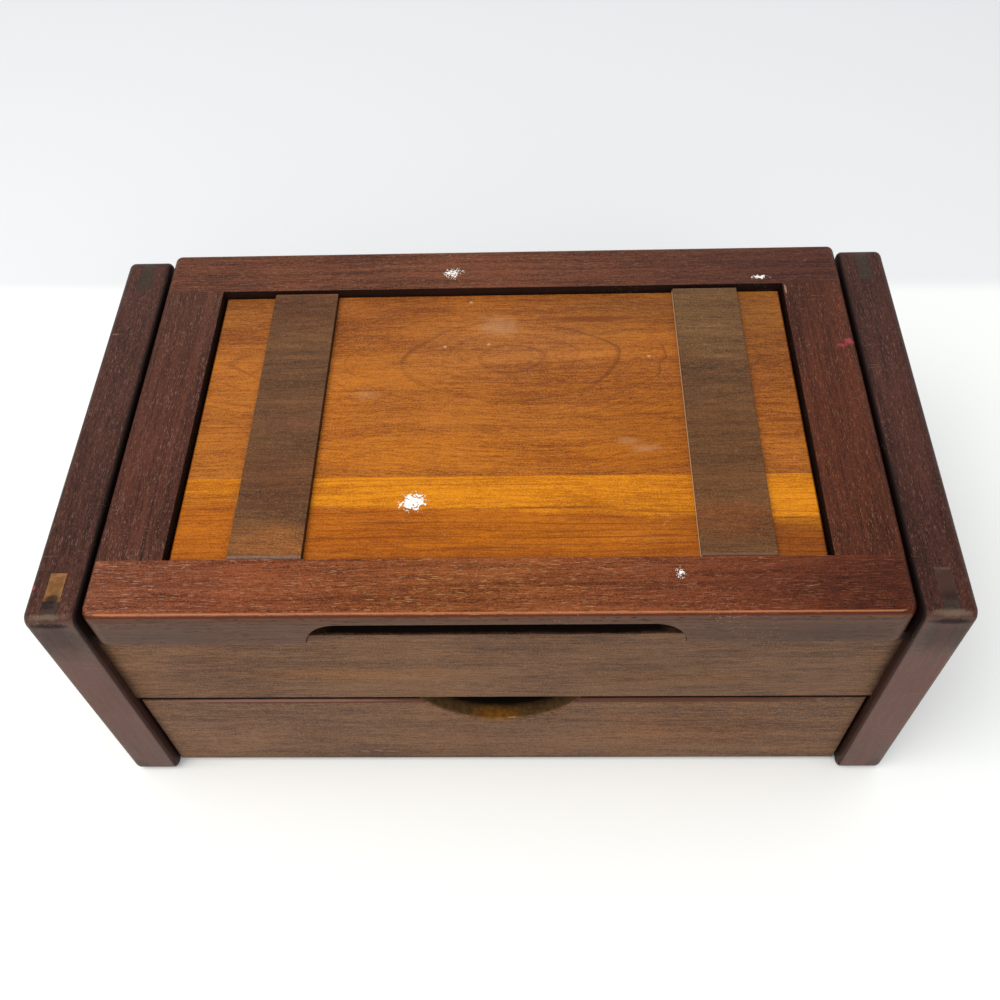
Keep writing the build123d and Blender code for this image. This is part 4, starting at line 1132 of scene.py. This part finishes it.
def paint_tree():
    """Geometry nodes for a spot of dried paint: a grid cut to a ragged outline and made solid."""
    tree, given, result = new_group("Paint spot", [
        ("Width", NUMBER, 0.012), ("Length", NUMBER, 0.009), ("Cell", NUMBER, 0.00016),
        ("Thickness", NUMBER, 0.0002), ("Cover", NUMBER, 0.5), ("Grain", NUMBER, 260.0),
        ("Seed", NUMBER, 1.0), ("Place", VECTOR, None), ("Material", "NodeSocketMaterial", None),
    ], [("Geometry", "NodeSocketGeometry")], "GeometryNodeTree")
    columns = tree.over(given["Width"], given["Cell"])
    rows = tree.over(given["Length"], given["Cell"])
    grid = tree.node("GeometryNodeMeshGrid", {
        "Size X": given["Width"], "Size Y": given["Length"], "Vertices X": columns,
        "Vertices Y": rows}).outputs[0]
    place = tree.node("GeometryNodeInputPosition").outputs[0]
    half = tree.vector("SCALE", tree.join(given["Width"], given["Length"], 1.0), 0.5)
    away = tree.vector("LENGTH", tree.vector("DIVIDE", place, half))
    bits = tree.node("ShaderNodeTexNoise", {"Vector": place, "W": given["Seed"], "Scale": given["Grain"],
                                            "Detail": 3.0, "Roughness": 0.55, "Distortion": 2.2},
                     noise_dimensions="4D").outputs[0]
    density = tree.plus(bits, tree.times(tree.minus(0.6, away), 0.35))
    density = tree.plus(density, tree.minus(given["Cover"], 1.0))
    bare = tree.math("LESS_THAN", density, 0.0)
    kept = tree.node("GeometryNodeDeleteGeometry", {"Geometry": grid, "Selection": bare}, domain="FACE")
    top = tree.times(tree.step(density, -0.01, 0.09, 0.25, 1.0), given["Thickness"])
    upper = tree.node("GeometryNodeExtrudeMesh", {"Mesh": kept.outputs[0], "Offset": (0.0, 0.0, 1.0),
                                                  "Offset Scale": top, "Individual": False})
    lower = tree.node("GeometryNodeFlipFaces", {"Mesh": kept.outputs[0]})
    both = tree.node("GeometryNodeJoinGeometry")
    tree.feed(both.inputs[0], upper.outputs[0])
    tree.feed(both.inputs[0], lower.outputs[0])
    closed = tree.node("GeometryNodeMergeByDistance", {"Geometry": both.outputs[0], "Distance": 1e-6})
    smooth = tree.node("GeometryNodeSetShadeSmooth", {"Geometry": closed.outputs[0], "Shade Smooth": True})
    moved = tree.node("GeometryNodeTransform", {"Geometry": smooth.outputs[0],
                                                "Translation": given["Place"]})
    real = tree.node("GeometryNodeRealizeInstances", {"Geometry": moved.outputs[0]})
    painted = tree.node("GeometryNodeSetMaterial", {"Geometry": real.outputs[0],
                                                    "Material": given["Material"]})
    tree.feed(result["Geometry"], painted.outputs[0])
    return tree.tree


def paint_finish():
    """Dried white paint with a little brown dirt in it."""
    c = colours()
    finish = Finish("dried paint")
    tree = finish.tree
    dirt = tree.noise(finish.place, 900.0, 3.0, 0.6)
    colour = tree.mix(tree.times(tree.step(dirt, 0.5, 0.75), 0.35), c.paint, tone(150, 120, 96))
    return finish.shade(colour, tree.times(dirt, 0.25, 0.4), dirt, 0.5, 0.0001,
                        **{"Specular IOR Level": 0.4})


# The paint spots: name, body, node that carries it, x, y, width and length in millimetres, share covered,
# grain and seed.
PAINT_SPOTS = (
    ("panel_paint", "lid", "lid_panel_front_board", -31.0, -46.5, 15.0, 12.5, 0.45, 360.0, 3.0),
    ("back_rail_paint", "lid", "lid_back_rail", -21.0, 79.0, 13.5, 11.0, 0.39, 560.0, 8.0),
    ("corner_paint", "lid", "lid_back_rail", 110.5, 73.5, 12.0, 4.5, 0.42, 420.0, 5.0),
    ("front_rail_paint", "lid", "lid_front_rail", 65.0, -81.5, 6.0, 7.0, 0.40, 900.0, 11.0),
)


class JEWELRYBOX_OT_paint_marks(bpy.types.Operator):
    """Add the dried paint spots on the lid"""
    bl_idname = "jewelry_box.paint_marks"
    bl_label = "Paint marks"

    def execute(self, context):
        s = sizes()
        material = paint_finish()
        tree = paint_tree()
        for name, body, node, x, y, width, length, cover, grain, seed in PAINT_SPOTS:
            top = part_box(node)[1].z
            piece = grown_mesh(name, tree, {
                "Width": width * MM, "Length": length * MM, "Cell": s.paint_cell,
                "Thickness": s.paint_thickness, "Cover": cover, "Grain": grain, "Seed": seed,
                "Place": Vector((x * MM, y * MM, top)), "Material": material})
            if not piece.data.polygons:
                raise RuntimeError(f"{name} came out empty")
            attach(piece, body)
        return {"FINISHED"}


class JEWELRYBOX_OT_stage(bpy.types.Operator):
    """Set up the floor, the lamps, the sky and the camera"""
    bl_idname = "jewelry_box.stage"
    bl_label = "Stage"

    def execute(self, context):
        make_floor()
        make_lights()
        make_camera()
        context.scene.view_settings.view_transform = "Standard"
        return {"FINISHED"}


def make_floor():
    """A wide white table that turns pale grey behind the box."""
    s, c = stage_settings(), colours()
    half = s.floor_half
    mesh = bpy.data.meshes.new("floor")
    mesh.from_pydata([(-half, -half, 0), (half, -half, 0), (half, half, 0), (-half, half, 0)], [],
                     [(0, 1, 2, 3)])
    finish = Finish("white table")
    tree = finish.tree
    # The grey begins along a line that slants a little, as in the photograph.
    x, y, _ = tree.split(finish.place)
    line = tree.times(x, 0.017, y)
    colour = tree.mix(tree.step(line, s.far_line - 0.004, s.far_line + 0.014), c.floor, c.floor_far)
    mottle = tree.noise(finish.place, 40.0, 2.0)
    colour = tree.mix(tree.times(mottle, 0.04), colour, tone(222, 226, 230))
    mesh.materials.append(finish.shade(colour, 0.75, tree.noise(finish.place, 500.0, 2.0), 0.1, 0.0002,
                                       **{"Specular IOR Level": 0.2}))
    floor = bpy.data.objects.new("floor", mesh)
    bpy.context.scene.collection.objects.link(floor)


def soft_lamp(name, place, aim, size, power, tint):
    """A square soft lamp that faces a point."""
    lamp = bpy.data.lights.new(name, "AREA")
    lamp.shape = "SQUARE"
    lamp.size = size
    lamp.energy = power
    lamp.color = tint[:3]
    holder = bpy.data.objects.new(name, lamp)
    holder.location = place
    holder.rotation_euler = (Vector(aim) - Vector(place)).to_track_quat("-Z", "Y").to_euler()
    bpy.context.scene.collection.objects.link(holder)


def make_lights():
    """An even pale sky, a soft lamp high on the left and a weaker one in front."""
    s = stage_settings()
    aim = (cad_low + cad_high) / 2
    soft_lamp("key lamp", (-0.62, -0.42, 1.25), aim, 0.9, s.key, tone(255, 252, 246))
    soft_lamp("fill lamp", (0.35, -1.3, 0.8), aim, 1.0, s.fill, tone(250, 252, 255))
    world = bpy.data.worlds.new("studio")
    world.use_nodes = True
    world.node_tree.nodes.clear()
    tree = Tree(world.node_tree)
    rays = tree.node("ShaderNodeLightPath").outputs
    seen = tree.plus(rays["Is Camera Ray"], rays["Is Glossy Ray"])
    seen = tree.node("ShaderNodeMath", {0: seen, 1: rays["Is Transmission Ray"]}, operation="ADD",
                     use_clamp=True).outputs[0]
    lit = tree.node("ShaderNodeBackground", {"Color": tone(252, 254, 255), "Strength": s.sky}).outputs[0]
    white = tree.node("ShaderNodeBackground", {"Color": tone(255, 255, 255), "Strength": 1.0}).outputs[0]
    both = tree.node("ShaderNodeMixShader", {0: seen, 1: lit, 2: white}).outputs[0]
    tree.node("ShaderNodeOutputWorld", {"Surface": both})
    bpy.context.scene.world = world


def make_camera():
    """A camera that sees the box as the photograph does."""
    s = stage_settings()
    yaw, pitch, roll = s.camera_yaw, s.camera_pitch, s.camera_roll
    ahead = Vector((math.sin(yaw) * math.cos(pitch), math.cos(yaw) * math.cos(pitch), math.sin(pitch)))
    level = Vector((math.cos(yaw), -math.sin(yaw), 0.0))
    upright = level.cross(ahead)
    right = level * math.cos(roll) + upright * math.sin(roll)
    up = upright * math.cos(roll) - level * math.sin(roll)
    lens = bpy.data.cameras.new("camera")
    lens.sensor_width = 36.0
    lens.lens = s.lens
    lens.shift_x, lens.shift_y = s.frame_shift
    lens.clip_start = 0.01
    camera = bpy.data.objects.new("camera", lens)
    turn = Matrix((right, up, -ahead)).transposed().to_4x4()
    camera.matrix_world = Matrix.Translation(s.camera_place) @ turn
    bpy.context.scene.collection.objects.link(camera)
    bpy.context.scene.camera = camera


STEPS = (JEWELRYBOX_OT_end_frames, JEWELRYBOX_OT_lid_frame, JEWELRYBOX_OT_lid_panel, JEWELRYBOX_OT_bands,
         JEWELRYBOX_OT_case, JEWELRYBOX_OT_drawer, JEWELRYBOX_OT_hardware, JEWELRYBOX_OT_felts,
         JEWELRYBOX_OT_paint_marks, JEWELRYBOX_OT_stage)


class JEWELRYBOX_PT_sidebar(bpy.types.Panel):
    """Lists the steps and the settings"""
    bl_idname = "JEWELRYBOX_PT_sidebar"
    bl_label = "Jewelry box"
    bl_space_type = "VIEW_3D"
    bl_region_type = "UI"
    bl_category = "Jewelry box"

    def draw(self, context):
        layout = self.layout
        for step in STEPS:
            layout.operator(step.bl_idname)
        for settings in (context.scene.box_sizes, context.scene.box_stage, context.scene.box_colours):
            box = layout.box()
            for key in settings.__annotations__:
                box.prop(settings, key)


CLASSES = (BoxColours, BoxSizes, StageSettings, *STEPS, JEWELRYBOX_PT_sidebar)


def register():
    for made in CLASSES:
        bpy.utils.register_class(made)
    bpy.types.Scene.box_colours = bpy.props.PointerProperty(type=BoxColours)
    bpy.types.Scene.box_sizes = bpy.props.PointerProperty(type=BoxSizes)
    bpy.types.Scene.box_stage = bpy.props.PointerProperty(type=StageSettings)


def unregister():
    del bpy.types.Scene.box_stage
    del bpy.types.Scene.box_sizes
    del bpy.types.Scene.box_colours
    for made in reversed(CLASSES):
        bpy.utils.unregister_class(made)


def main():
    """Runs every step in order."""
    register()
    for step in STEPS:
        group, name = step.bl_idname.split(".")
        getattr(getattr(bpy.ops, group), name)()


if __name__ == "__main__":
    main()
